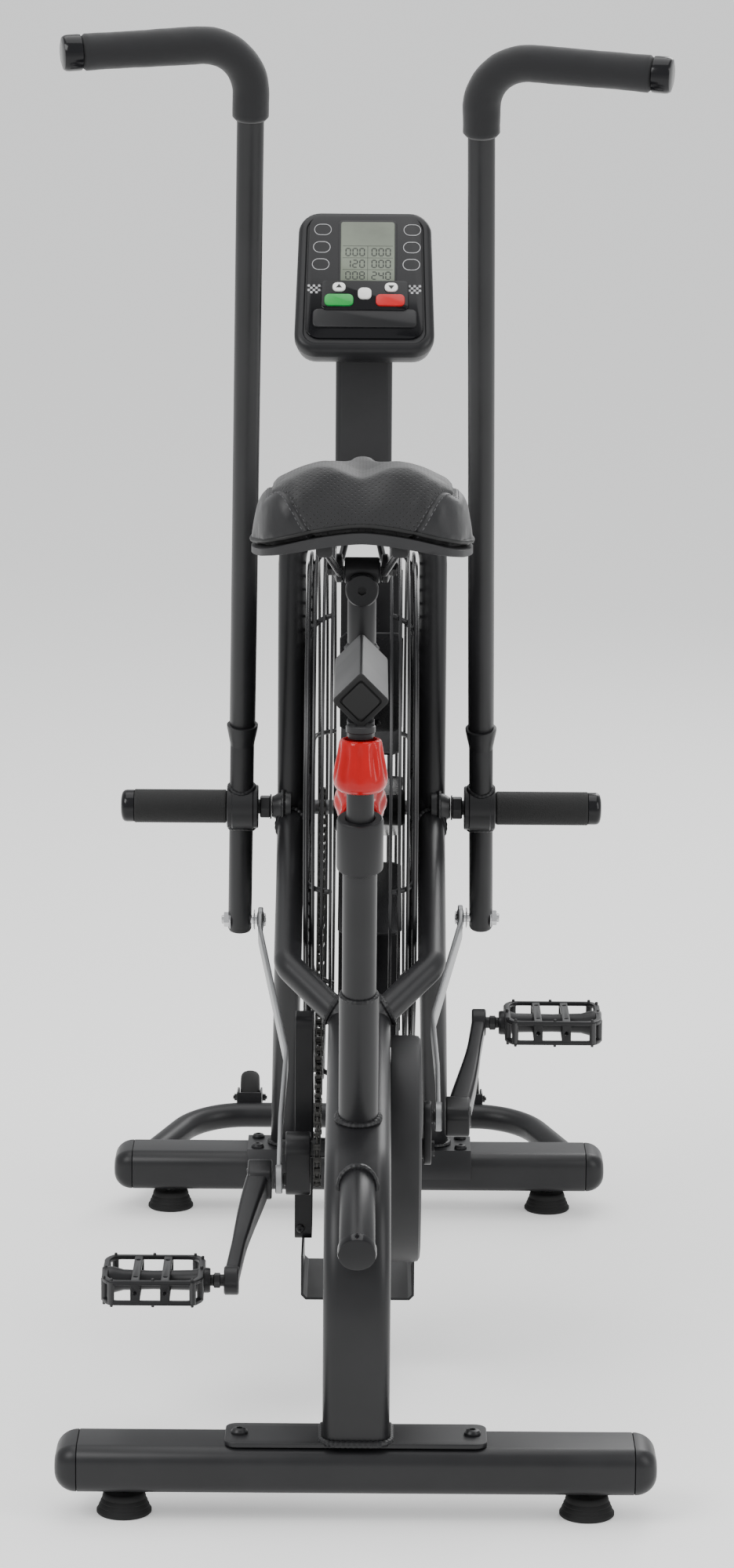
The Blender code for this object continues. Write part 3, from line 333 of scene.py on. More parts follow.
def bent(points, radius, steps=14):
    """A polyline with its inner corners rounded."""
    points = [Vector(p) for p in points]
    path = [points[0]]
    for before, corner, after in zip(points, points[1:], points[2:]):
        to_before, to_after = (before - corner).normalized(), (after - corner).normalized()
        half = to_before.angle(to_after) / 2
        centre = corner + (to_before + to_after).normalized() * radius / math.sin(half)
        start = corner + to_before * radius / math.tan(half) - centre
        turn = start.rotation_difference(corner + to_after * radius / math.tan(half) - centre)
        for step in range(steps + 1):
            path.append(centre + Matrix.Rotation(turn.angle * step / steps, 3, turn.axis) @ start)
    path.append(points[-1])
    return path


def divided(points, spacing):
    """A polyline with points added about the spacing apart, and without its last point."""
    dense = []
    for a, b in zip(points, points[1:]):
        steps = max(1, round((b - a).length / spacing))
        dense.extend(a.lerp(b, step / steps) for step in range(steps))
    return dense


def sweep(path, section, up=None, closed=False, scales=None, edge=0.0):
    """A section carried along a path. edge rounds both ends by that much."""
    path = [Vector(p) for p in path]
    scales = list(scales) if scales else [1.0] * len(path)
    if edge:
        size = max(math.hypot(a, b) for a, b in section)
        first, last = (path[1] - path[0]).normalized(), (path[-1] - path[-2]).normalized()
        cuts = ((0.0, 1.0), (0.3, 0.3), (1.0, 0.0))
        head = [(path[0] + first * edge * along, 1 - edge * inset / size) for along, inset in cuts]
        tail = [(path[-1] - last * edge * along, 1 - edge * inset / size)
                for along, inset in reversed(cuts)]
        path = [p for p, _ in head] + path[1:-1] + [p for p, _ in tail]
        scales = [s for _, s in head] + scales[1:-1] + [s for _, s in tail]
    count = len(path)
    rings = []
    normal = None
    for i, centre in enumerate(path):
        if closed:
            along = (path[(i + 1) % count] - path[i - 1]).normalized()
        else:
            along = (path[min(i + 1, count - 1)] - path[max(i - 1, 0)]).normalized()
        hint = normal or up or (X if abs(along.x) < 0.8 else Z)
        normal = (hint - along * hint.dot(along)).normalized()
        across = along.cross(normal)
        rings.append([centre + (normal * a + across * b) * scales[i] for a, b in section])
    return skin(rings, closed)


def tube(path, radius, count=28, edge=0.0):
    return sweep(path, circle(radius, count), edge=edge)


def square_to(axis):
    """Two directions square to an axis and to each other."""
    side = (X if abs(axis.x) < 0.8 else Z).cross(axis).normalized()
    return side, axis.cross(side)


def turned(profile, at, axis, steps=40):
    """A profile of (distance from the axis, height) in millimetres, spun about an axis.

    A profile that ends where it starts makes a ring, and its ends aren't capped. A whole third number makes
    the point's circle a polygon, and a fraction gives it flutes of that depth.
    """
    axis = Vector(axis).normalized()
    side, other = square_to(axis)
    at = Vector(at)
    points, rings = [], []
    for radius, height, *rest in profile:
        shape = rest[0] if rest else 0
        level = at + axis * height * MM
        if radius == 0:
            rings.append([len(points)] * steps)
            points.append(level)
            continue
        rings.append(range(len(points), len(points) + steps))
        for i in range(steps):
            angle = math.tau * i / steps
            reach = radius * MM
            if isinstance(shape, int) and shape:
                part = math.pi / shape
                reach *= math.cos(part) / math.cos(angle % (2 * part) - part)
            elif shape:
                reach *= 1 - shape * (0.5 + 0.5 * math.cos(10 * angle)) ** 2
            points.append(level + (side * math.cos(angle) + other * math.sin(angle)) * reach)
    faces = []
    for a, b in zip(rings, rings[1:]):
        for i in range(steps):
            j = (i + 1) % steps
            around = dict.fromkeys((a[i], a[j], b[j], b[i]))
            if len(around) > 2:
                faces.append(tuple(around))
    if profile[0] != profile[-1]:
        faces += [tuple(ring) for ring in (rings[0], rings[-1]) if ring[0] != ring[1]]
    return points, faces


def hollow(start, end, outer, inner):
    """A pipe between two points, with radii in millimetres, whose ends show its wall."""
    lip, length = 0.8, (end - start).length / MM
    profile = [(inner, 0), (outer - lip, 0), (outer, lip), (outer, length - lip), (outer - lip, length),
               (inner, length), (inner, 0)]
    return turned(profile, start, end - start, 32)


def mirrored(profile):
    """A profile of a shape that is the same either way up, from its first half."""
    return [*profile, *[(radius, -height, *rest) for radius, height, *rest in reversed(profile)]]


def slab(outlines, low, high, edge=0.0008, lying=None):
    """Flat outlines, the inner ones being holes, made solid between two places along X, with rounded edges.

    With the matrix lying, the outlines are in its XY plane, and only the thickness counts.
    """
    curve = bpy.data.curves.new("outline", "CURVE")
    curve.dimensions = "2D"
    curve.fill_mode = "BOTH"
    curve.extrude = max((high - low) / 2 - edge, 0.00005)
    curve.bevel_depth = edge
    curve.bevel_resolution = 2
    curve.offset = -edge
    for outline in outlines:
        spline = curve.splines.new("POLY")
        spline.points.add(len(outline) - 1)
        for point, (y, z) in zip(spline.points, outline):
            point.co = (y, z, 0.0, 1.0)
        spline.use_cyclic_u = True
    source = bpy.data.objects.new("outline", curve)
    bpy.context.scene.collection.objects.link(source)
    mesh = evaluated(source)
    bpy.data.objects.remove(source)
    bpy.data.curves.remove(curve)
    raw = bmesh.new()
    raw.from_mesh(mesh)
    bmesh.ops.remove_doubles(raw, verts=raw.verts, dist=0.00001)
    turn = lying or Matrix(((0, 0, 1, (low + high) / 2), (1, 0, 0, 0), (0, 1, 0, 0), (0, 0, 0, 1)))
    raw.verts.ensure_lookup_table()
    shape = [turn @ v.co for v in raw.verts], [tuple(v.index for v in f.verts) for f in raw.faces]
    raw.free()
    bpy.data.meshes.remove(mesh)
    return shape


def evaluated(made):
    """A new mesh of an object as its modifiers leave it."""
    bpy.context.view_layer.update()
    return bpy.data.meshes.new_from_object(made.evaluated_get(bpy.context.evaluated_depsgraph_get()))


def cut_ring(centre, axis, radius, normal, count=48):
    """Where a round tube meets a plane through a point of its axis."""
    axis, normal = Vector(axis).normalized(), Vector(normal).normalized()
    side, other = square_to(axis)
    ring = []
    for a, b in circle(radius, count):
        off = side * a + other * b
        ring.append(centre + off - axis * off.dot(normal) / axis.dot(normal))
    return ring


def weld(name, ring, radius=0.0026, body="frame", within=None):
    """A painted bead with ripples, round a closed ring of points."""
    dense = divided([Vector(p) for p in (*ring, ring[0])], 0.0013)
    scales = [1 + 0.22 * abs(math.sin(math.pi * i / 4)) for i in range(len(dense))]
    return piece(name, sweep(dense, circle(radius, 8), closed=True, scales=scales), "weld", body,
                 within=within)


BUTTON = ((0, -2), (7.8, -2), (8.2, -0.5), (7.8, 1.8), (6.2, 3.8), (4, 4.6), (3, 4.7, 6), (3, 1.8, 6),
          (0, 1.6))
HEX = ((0, -1), (9.2, -1), (9.2, 0.6), (6.6, 0.7, 6), (7, 1.2, 6), (7, 5.6, 6), (6.2, 6.2), (3.6, 6.4),
       (3.4, 8.6), (0, 9))


def bolt(name, at, axis, body="frame", kind=BUTTON, size=1.0):
    profile = [(radius * size, height * size, *rest) for radius, height, *rest in kind]
    return piece(name, turned(profile, at, axis, 36), "forged", body, sharp=28)


# Base frame

BEAM, BEAM_CORNER = 0.0635, 0.014
HOOP_X, HOOP_RADIUS, ARM_RADIUS = 0.0766, 0.0152, 0.0145
HOOP_FOOT, HOOP_KNEE = place(0.088, FRONT_Y, 0.08), place(HOOP_X, 0.785, 0.52)
SEAT_LEAN = math.radians(12.8)
SEAT_UP = Vector((0, -math.sin(SEAT_LEAN), math.cos(SEAT_LEAN)))
SEAT_OUT = Vector((0, math.cos(SEAT_LEAN), math.sin(SEAT_LEAN)))
KNOB_HEIGHT = 0.648


def seat_axis(height):
    """The point of the seat tube's axis at this height."""
    return place(0, 0.15 - (height - 0.325) * math.tan(SEAT_LEAN), height)


def mirror_x(points):
    return [Vector((-p.x, p.y, p.z)) for p in points]


def stabilizer(end):
    low, high, centre = corners(f"{end}_stabilizer")
    depth, height = high.y - low.y, high.z - low.z
    corner, cap = 0.016, 0.0207
    path = [Vector((x, centre.y, centre.z)) for x in (low.x, high.x)]
    piece(f"{end}_stabilizer_tube", sweep(path, rounded(height, depth, corner, 9), up=Z, edge=0.0006),
          node=f"{end}_stabilizer")
    for name, side in SIDES:
        near = (high if side > 0 else low).x + side * 0.0003
        steps = [(0.0, 0.0008)]
        for step in range(14):
            turn = math.pi / 2 * step / 13
            steps.append((0.0006 + cap * math.sin(turn), 0.0165 * (1 - math.cos(turn))))
        rings = []
        for out, inset in steps:
            tall, deep = height - 2 * inset, depth - 2 * inset
            outline = rounded(tall, deep, min(corner - inset * 0.45, min(tall, deep) / 2 - 0.0002), 9)
            rings.append([Vector((near + side * out, centre.y + b, centre.z + a)) for a, b in outline])
        piece(f"{end}_{name}_end_cap", skin(rings), "plastic", node=f"stabilizer_cap_{end}_{name}")
        foot(end, name)


def foot(end, name):
    """A ribbed rubber cone under a bright stud with its lock nut."""
    node, body = f"foot_{end}_{name}", f"levelling_{end}_{name}"
    _, high, at = corners(node)
    at.z = 0
    wide, top = 26.3, high.z / MM
    cone = [(0, 0.6), (18, 0), (wide - 1.2, 0), (wide, 1.2), (wide, 3.6), (wide - 0.8, 4.6)]
    for ridge in range(3):
        height, radius = 7 + ridge * 4, wide - 1.6 * (ridge + 1)
        cone += [(radius, height - 1.2), (radius - 0.9, height), (radius - 0.6, height + 1)]
    cone += [(20, 19.6), (18.8, 20.8), (12, 21.2), (0, 21.2)]
    piece(f"{node}_rubber", turned(cone, at, Z, 56), "rubber", body, node)
    nut = [(0, 20.5), (7.2, 20.5), (7.6, 20.8, 6), (7.6, 25.8, 6), (6.8, 26.2), (0, 26.2)]
    piece(f"{node}_nut", turned(nut, at, Z, 36), "chrome", body)
    stud = [(0, 25.8), (3.9, 25.8)]
    for thread in range(3):
        stud += [(4, 26.2 + thread * 0.6), (3.6, 26.5 + thread * 0.6)]
    stud += [(3.8, top), (0, top)]
    piece(f"{node}_stud", turned(stud, at, Z, 24), "chrome", body)


def base_plate():
    top = corners("rear_stabilizer")[1].z
    outline = shift(rounded(0.248, 0.06, 0.011, 6), 0, REAR_Y)
    piece("base_plate", slab([outline], 0, 0.0047, 0.0009, Matrix.Translation((0, 0, top + 0.00265))))
    across = BEAM + 0.002
    weld("beam_foot_weld", [place(x, y, top + 0.0052)
                            for x, y in rounded(across, across, BEAM_CORNER + 0.001, 5)], 0.003)
    for name, side in SIDES:
        bolt(f"plate_bolt_{name}", place(side * 0.1105, 0, top + 0.0055), Z)


def beam():
    """The square beam: up from the base plate, round its bend and along to the crank."""
    bend, end, run = 0.12, math.radians(80), 0.335
    path = [place(0, 0, 0.0765)]
    path += [place(0, bend - y, 0.19 + z) for y, z in arc((0, 0), bend, 0, end, 24)]
    path.append(path[-1] + Vector((0, run * math.sin(end), run * math.cos(end))))
    piece("rear_beam", sweep(path, rounded(BEAM, BEAM, BEAM_CORNER, 8), up=X, edge=0.001),
          node="main_frame")


def hoop():
    """The hoop round the fan, with the two arms that join it to the beam."""
    half = [HOOP_FOOT, HOOP_KNEE, place(HOOP_X, 0.8, 0.862)]
    piece("side_hoop", tube(bent(half + mirror_x(reversed(half)), 0.066), HOOP_RADIUS, 32))
    for name, side in SIDES:
        points = [place(side * 0.016, 0.405, 0.382), place(side * 0.0745, 0.47, 0.424),
                  place(side * HOOP_X, 0.784, 0.518)]
        piece(f"fork_arm_{name}", tube(bent(points, 0.03), ARM_RADIUS, 32))
        into, along = (points[1] - points[0]).normalized(), (points[2] - points[1]).normalized()
        weld(f"fork_weld_{name}", cut_ring(points[0].lerp(points[1], 0.2), into, ARM_RADIUS + 0.0006,
                                           (side * 0.86, 0.2, 0.45)))
        weld(f"hoop_weld_{name}", cut_ring(points[2] - along * 0.022, along, ARM_RADIUS + 0.0006,
                                           (0, 0.95, -0.3)))
        bracket(name, side)
        cone = [(0, 0), (19, 0), (18.6, 6), (15, 14.5), (12.4, 18.5), (11.5, 20.6), (10.8, 20.9), (0, 20.9)]
        piece(f"pivot_boss_{name}", turned(cone, AXLE + X * side * HOOP_X, X * side, 48))
        weld(f"boss_weld_{name}", cut_ring(AXLE + X * side * (HOOP_X + 0.0085), X, 0.0182, X), 0.002)


def bracket(name, side):
    """The formed sheet bracket that bolts a hoop foot over the front stabilizer."""
    low, high, centre = corners("front_stabilizer")
    top, half, skirt = high.z + 0.0003, (high.y - low.y) / 2 + 0.0004, 0.046
    outer = [(half + 0.0035, skirt), (half + 0.0035, top - 0.012), (half - 0.006, top + 0.0038)]
    inner = [(half, skirt), (half, top - 0.013), (half - 0.008, top)]
    outline = outer + [(-y, z) for y, z in reversed(outer)] + [(-y, z) for y, z in inner] + inner[::-1]
    near, far = sorted((side * 0.07, side * 0.13))
    piece(f"hoop_bracket_{name}", slab([shift(outline, centre.y, 0)], near, far, 0.0007))
    foot_at, knee = (Vector((side * p.x, p.y, p.z)) for p in (HOOP_FOOT, HOOP_KNEE))
    weld(f"hoop_foot_weld_{name}", cut_ring(foot_at, knee - foot_at, HOOP_RADIUS + 0.0006, Z), 0.0028)
    for tag, offset in (("rear", -0.0215), ("front", 0.0215)):
        bolt(f"bracket_bolt_{name}_{tag}", place(side * 0.118, FRONT_Y + offset, top + 0.0045), Z, size=0.9)


def seat_tube():
    sleeve_top = 0.4786
    piece("seat_sleeve", hollow(seat_axis(0.34), seat_axis(sleeve_top), 19.1, 15))
    piece("seat_tube", hollow(seat_axis(sleeve_top - 0.02), seat_axis(0.65), 16.4, 13.4))
    beam_slope = math.radians(10)
    across = Vector((0, -math.sin(beam_slope), math.cos(beam_slope)))
    weld("sleeve_foot_weld", cut_ring(seat_axis(0.35), SEAT_UP, 0.02, across), 0.0032)
    weld("sleeve_top_weld", cut_ring(seat_axis(sleeve_top + 0.0005), SEAT_UP, 0.0172, SEAT_UP), 0.002)
    low = seat_axis(0.609)
    tall = (seat_axis(0.66) - low).length / MM
    collar = [(13.4, 0.5), (20.5, 0), (21.8, 1), (22.2, 3), (22.2, tall - 3), (21.6, tall - 0.8),
              (20.5, tall), (14.8, tall), (13.4, tall - 1.4), (13.4, 0.5)]
    piece("seat_collar", turned(collar, low, SEAT_UP, 56), "plastic")
    weld("collar_weld", cut_ring(low - SEAT_UP * 0.0005, SEAT_UP, 0.0172, SEAT_UP), 0.0018)
    boss = [(4.8, 15), (9.5, 15), (9.8, 20), (9.8, 21, 6), (10.2, 21.8, 6), (10.2, 26.8, 6), (9.2, 27.8),
            (4.8, 28), (4.8, 15)]
    piece("pull_pin_boss", turned(boss, seat_axis(KNOB_HEIGHT), SEAT_OUT, 36), "forged")


def lift_handle():
    root, end = place(0, 0.045, 0.318), place(0, -0.068, 0.2815)
    piece("lift_handle", tube([root, end], 0.0168, 36, edge=0.0006))
    cap = [(0, 0.2), (17.6, 0.2), (18.2, 1), (18.2, 7.8), (17.4, 10.4), (15, 11.6), (0, 11.9)]
    piece("lift_handle_plug", turned(cap, end, end - root, 48), "gloss", node="lift_handle_cap")
    weld("lift_handle_weld", cut_ring(root.lerp(end, 0.13), end - root, 0.0176, (0, -1, 0.1)))


def wheel_bar():
    half = [place(0.245, FRONT_Y + 0.043, 0.0505), place(0.19, 1.205, 0.066)]
    path = bent(half + mirror_x(reversed(half)), 0.085, 24)
    piece("front_wheel_bar", tube(path, 0.0148, 32), node="wheel_bar")
    for name, side in SIDES:
        wheel(name, side)


def wheel(name, side):
    """A transport wheel between the two ears of its fork."""
    at = joint_place(f"wheel_{name}_roll")
    root = REAR_Y + 1.214
    ear = [(at.y, at.z + 0.0125), (at.y + 0.009, at.z + 0.0085), (at.y + 0.0125, at.z),
           (at.y + 0.009, at.z - 0.0085), (at.y, at.z - 0.0125), (root, 0.0575), (root, 0.0915)]
    fork = [slab([ear], at.x - 0.015, at.x - 0.0126, 0.0006),
            slab([ear], at.x + 0.0126, at.x + 0.015, 0.0006)]
    web = [(root - 0.0015, 0.0578), (root + 0.001, 0.0578), (root + 0.001, 0.0912), (root - 0.0015, 0.0912)]
    fork.append(slab([web], at.x - 0.015, at.x + 0.015, 0.0005))
    piece(f"wheel_fork_{name}", together(*fork))
    for across in (-1, 1):
        tag = "inner" if across * side < 0 else "outer"
        bolt(f"wheel_bolt_{name}_{tag}", at + X * across * 0.0152, X * across, kind=HEX, size=0.62)
    half = [(4.6, -11.8), (10, -11.8), (10.4, -10.4), (19.5, -10), (21, -11.2), (25.5, -11.2),
            (28.8, -9.8), (31, -7), (32.3, -3), (32.5, 0)]
    piece(f"roller_{name}", turned([*mirrored(half), half[0]], at, X, 56), "rubber", f"wheel_{name}",
          f"transport_wheel_{name}")


stabilizer("rear")
stabilizer("front")
base_plate()
beam()
hoop()
seat_tube()
lift_handle()
wheel_bar()


# Guard, fan and drive

CAGE_RADIUS, CAGE_WIRE = 0.3, 0.0017
PITCH, ROLLER = 0.0127, 0.004
CRANK_TEETH, FAN_TEETH = 18, 9
CHAIN_X = corners("drive_chain")[2].x
CRANK_REST, PIN_LEAD = math.radians(33), math.radians(70)
PEDAL_REACH, PIN_REACH = 0.177, 0.037


def wire_ring(x, radius):
    points = [AXLE + Vector((x, y, z)) for y, z in circle(radius, 84)]
    return sweep(points, circle(CAGE_WIRE, 8), up=X, closed=True)


def cage(name, side):
    """Half of the fan's guard: rings of wire welded to six spokes and a hub plate."""
    rings = [(0.058, 0.064 + 0.0145 * i) for i in range(15)]
    rings += [(0.0555, 0.278), (0.049, 0.2885), (0.04, 0.296), (0.031, CAGE_RADIUS)]
    piece(f"guard_rings_{name}", together(*[wire_ring(side * x, radius) for x, radius in rings]), "wire",
          node=f"cage_{name}")
    profile = [(0.0553, 0.046), (0.0553, 0.262), (0.053, 0.2755), (0.0465, 0.286), (0.0375, 0.2932),
               (0.03, 0.2965)]
    spokes = []
    for spoke in range(6):
        angle = math.radians(6 + 60 * spoke)
        path = [AXLE + Vector((side * x, r * math.cos(angle), r * math.sin(angle))) for x, r in profile]
        spokes.append(tube(bent(path, 0.006, 4), 0.0027, 12, edge=0.0006))
    piece(f"guard_spokes_{name}", together(*spokes), "wire")
    face = [(9.2, 0), (56, 0), (57.2, 0.8), (57.2, 2), (54, 2.8), (33, 2.8), (30, 5.2), (18, 5.2),
            (17, 4.5), (9.2, 4.5), (9.2, 0)]
    piece(f"guard_hub_{name}", turned(face, AXLE + X * side * 0.0535, X * side, 64))


def fan():
    half = X * 0.0605
    piece("fan_axle_rod", tube([AXLE - half, AXLE + half], 0.0079, 28, edge=0.0008), "zinc",
          node="fan_axle")
    hub = [(8.6, -30), (24, -30), (26, -28.2), (26, -22), (20, -19), (20, 2), (26, 5), (42, 7), (43, 8),
           (43, 11.2), (20, 13), (20, 44), (18.5, 47.8), (8.6, 48), (8.6, -30)]
    piece("fan_hub", turned(hub, AXLE, X, 56), "forged", "fan", "fan_wheel")
    disc = [(30, 8.2), (115, 8.2), (118, 7), (150, 7), (153, 8.2), (187, 8.2), (190, 8.8), (190, 10.4),
            (187, 11), (30, 11), (30, 8.2)]
    piece("fan_disc", turned(disc, AXLE, X, 96), "wire", "fan")
    blade = [(-0.0235, 0.128), (-0.015, 0.121), (0.035, 0.121), (0.0435, 0.128), (0.0435, 0.262),
             (0.037, 0.2705), (-0.017, 0.2705), (-0.0235, 0.262)]
    rivet = [(0, 0.8), (4.2, 0.8), (3.8, 2), (2, 2.8), (0, 3)]
    blades = []
    for i in range(10):
        turn = Matrix.Translation(AXLE) @ Matrix.Rotation(math.tau * (i + 0.5) / 10, 4, "X")
        blades.append(slab([blade], 0, 0.0022, 0.0007, turn))
        for radius in (0.135, 0.178):
            for x in (0.002, 0.017):
                blades.append(moved(turned(rivet, (x, radius, 0), Z, 12), turn))
    piece("fan_blades", together(*blades), "wire", "fan")
    outlines = [cog(FAN_TEETH, AXLE), circle(0.0086, at=AXLE.yz)]
    piece("fan_cog", slab(outlines, CHAIN_X - 0.0011, CHAIN_X + 0.0011, 0.0003), "chain", "fan",
          "fan_sprocket")


def pitch_radius(teeth):
    return PITCH / (2 * math.sin(math.pi / teeth))


def cog(teeth, centre):
    """The outline of a chain wheel: a round seat between each pair of blunt teeth."""
    radius, tip_radius, opening = pitch_radius(teeth), pitch_radius(teeth) + 0.0022, math.radians(75)
    outline = []
    for tooth in range(teeth):
        seat = math.tau * tooth / teeth
        spot = radius * math.cos(seat), radius * math.sin(seat)
        outline += arc(spot, ROLLER, seat + math.pi - opening, seat + math.pi + opening, 6)
        tip, lean = seat + math.pi / teeth, 0.16 * math.pi / teeth
        outline += arc((0, 0), tip_radius, tip - lean, tip + lean, 1)
    return shift(outline, centre.y, centre.z)


def chain_loop():
    """Points one pitch apart along the chain's pitch line."""
    around = round_two(CRANK.yz, AXLE.yz, pitch_radius(CRANK_TEETH), pitch_radius(FAN_TEETH), 32)
    dense = [Vector((CHAIN_X, y, z)) for y, z in around + around[:1]]
    total = sum((b - a).length for a, b in zip(dense, dense[1:]))
    count = 2 * round(total / PITCH / 2)
    spots, travelled, target = [], 0.0, 0.0
    for a, b in zip(dense, dense[1:]):
        step = (b - a).length
        while target < travelled + step - 1e-9 and len(spots) < count:
            spots.append(a.lerp(b, (target - travelled) / step))
            target += total / count
        travelled += step
    return spots


def chain():
    """Rollers joined by plates that are set wide and narrow in turn."""
    spots = chain_loop()
    roller = mirrored([(0, -3.6), (1.6, -3.6), (1.6, -1.9), (3.7, -1.8)])
    end, waist, thick = 0.0037, 0.0026, 0.0008
    plates, rollers = [], []
    for i, (a, b) in enumerate(zip(spots, spots[1:] + spots[:1])):
        wide = 0.003 if i % 2 else 0.002
        length = math.hypot(b.y - a.y, b.z - a.z)
        outline = [*arc((0, 0), end, math.pi / 2, math.pi * 1.5, 6), (length / 2, -waist),
                   *arc((length, 0), end, -math.pi / 2, math.pi / 2, 6), (length / 2, waist)]
        turn = Matrix.Translation((0, a.y, a.z)) @ Matrix.Rotation(math.atan2(b.z - a.z, b.y - a.y), 4, "X")
        for side in (-1, 1):
            near = CHAIN_X + side * wide
            rings = [[Vector((x, y, z)) for y, z in outline] for x in (near, near + side * thick)]
            plates.append(moved(skin(rings), turn))
        rollers.append(turned(roller, a, X, 12))
    piece("roller_chain", together(*plates, *rollers), "chain", node="drive_chain")


def chain_case():
    low = corners("chain_guard")[0].x
    lip, wall = -0.049, 0.0018
    points = [(0.4525, 0.134), (0.5, 0.134), (0.56, 0.2), (0.58, 0.265), (0.53, 0.325), (0.495, 0.372),
              (0.4525, 0.372)]
    outline = softened(shift(points, REAR_Y, 0), 0.012)
    heart = Vector((REAR_Y + 0.505, 0.25))
    inner = [tuple(Vector(p) + (heart - Vector(p)).normalized() * 0.002) for p in outline]
    piece("chain_case_wall", slab([outline], low, low + wall, 0.0007), "plastic", node="chain_guard")
    rings = []
    for x, line in ((low + 0.001, outline), (-0.056, outline), (lip, outline), (lip, inner),
                    (low + 0.001, inner)):
        rings.append([Vector((x, y, z)) for y, z in line])
    piece("chain_case_rim", skin(rings, closed=True), "plastic")
    piece("chain_case_lip", slab([outline, inner], lip - 0.0005, lip + 0.001, 0.0005), "plastic")
    bolt("chain_case_bolt", place(-0.06, 0.452, 0.147), -Y, size=0.55)


def crank_drum():
    low, high, _ = corners("crank_cover")
    wide = (high.z - low.z) / 2 / MM
    drum = [(wide - 2, 0), (wide - 0.4, 0), (wide, 0.6), (wide, 24), (wide - 1, 28.2), (wide - 4.5, 30.4),
            (wide - 10, 30.9), (56, 30.9), (54, 29), (30, 29), (29, 30), (17.5, 30), (16.5, 29.2),
            (16.5, 27.6), (54, 27.2), (wide - 10, 29), (wide - 2.2, 25), (wide - 2, 0)]
    piece("crank_drum", turned(drum, (low.x, CRANK.y, CRANK.z), X, 120), "grey", node="crank_cover")
    start = math.radians(100)
    for step, (y, z) in enumerate(arc(CRANK.yz, 0.044, start, start + math.tau * 2 / 3, 2)):
        bolt(f"drum_screw_{step}", Vector((low.x + 0.0291, y, z)), X, size=0.42)


def crank_housing():
    """The crank's shell, the two gussets that hang it from the beam, a strut and the channel under it."""
    shell = mirrored([(11.6, -32.5), (20.5, -32.5), (21.5, -31.8), (21.5, -28.5), (23, -28)])
    piece("crank_shell", turned([*shell, shell[0]], CRANK, X, 56))
    gusset = softened([(-0.024, 0.006), (0.024, 0.006), (0.03, 0.095), (-0.026, 0.088)], 0.006)
    for name, side in SIDES:
        near, far = sorted((side * 0.0165, side * 0.0205))
        piece(f"crank_gusset_{name}", slab([shift(gusset, CRANK.y, CRANK.z)], near, far))
    drop = softened([(0.403, 0.088), (0.425, 0.088), (0.425, 0.24), (0.403, 0.24)], 0.002)
    piece("drop_strut", slab([shift(drop, REAR_Y, 0)], -0.012, 0.012, 0.0012))
    half = [(0.0535, 0.086), (0.0585, 0.091), (0.0585, 0.133), (0.0562, 0.133), (0.0562, 0.0925),
            (0.0525, 0.0885)]
    section = half + [(-x, z) for x, z in reversed(half)]
    piece("lower_channel", skin([[place(x, y, z) for x, z in section] for y in (0.4, 0.54)]), bevel=0.0006)


def crank_spot(side, reach, lead=0.0):
    """A place on a crank at rest, this far from its axis and this much ahead of its pedal."""
    angle = CRANK_REST + lead + (0.0 if side > 0 else math.pi)
    return CRANK + Vector((0, reach * math.cos(angle), reach * math.sin(angle)))


def crank_set():
    spindle = mirrored([(0, -73.8), (8.5, -73.8), (10.4, -72.5)])
    piece("crank_axle", turned(spindle, CRANK, X, 36), "forged", "crank", "crank_spindle")
    outlines = [cog(CRANK_TEETH, CRANK), circle(0.0109, at=CRANK.yz)]
    for hole in arc(CRANK.yz, 0.02, CRANK_REST, CRANK_REST + math.tau * 3 / 4, 3):
        outlines.append(circle(0.0042, 16, hole))
    piece("drive_cog", slab(outlines, CHAIN_X - 0.0012, CHAIN_X + 0.0012, 0.0004), "chain", "crank",
          "chainring")
    for name, side in SIDES:
        pin, pedal = crank_spot(side, PIN_REACH, PIN_LEAD), crank_spot(side, PEDAL_REACH)
        inner_arm(name, side, pin)
        outer_arm(name, side, pin, pedal)
        pedal_cage(name, side, pedal)


def inner_arm(name, side, pin):
    near = 0.0665 if side > 0 else 0.049
    low, high = sorted((side * near, side * 0.0745))
    outline = round_two(CRANK.yz, pin.yz, 0.0165, 0.016)
    piece(f"short_arm_{name}", slab([outline], low, high, 0.0012), "forged", "crank", f"crank_inner_{name}")
    nut = [(0, -0.5), (9.8, -0.5), (9.8, 0.6), (8.4, 0.7, 6), (8.4, 3.4, 6), (7.4, 4), (0, 4.1)]
    bolt(f"arm_nut_{name}", Vector((side * 0.0738, CRANK.y, CRANK.z)), X * side, "crank", nut)


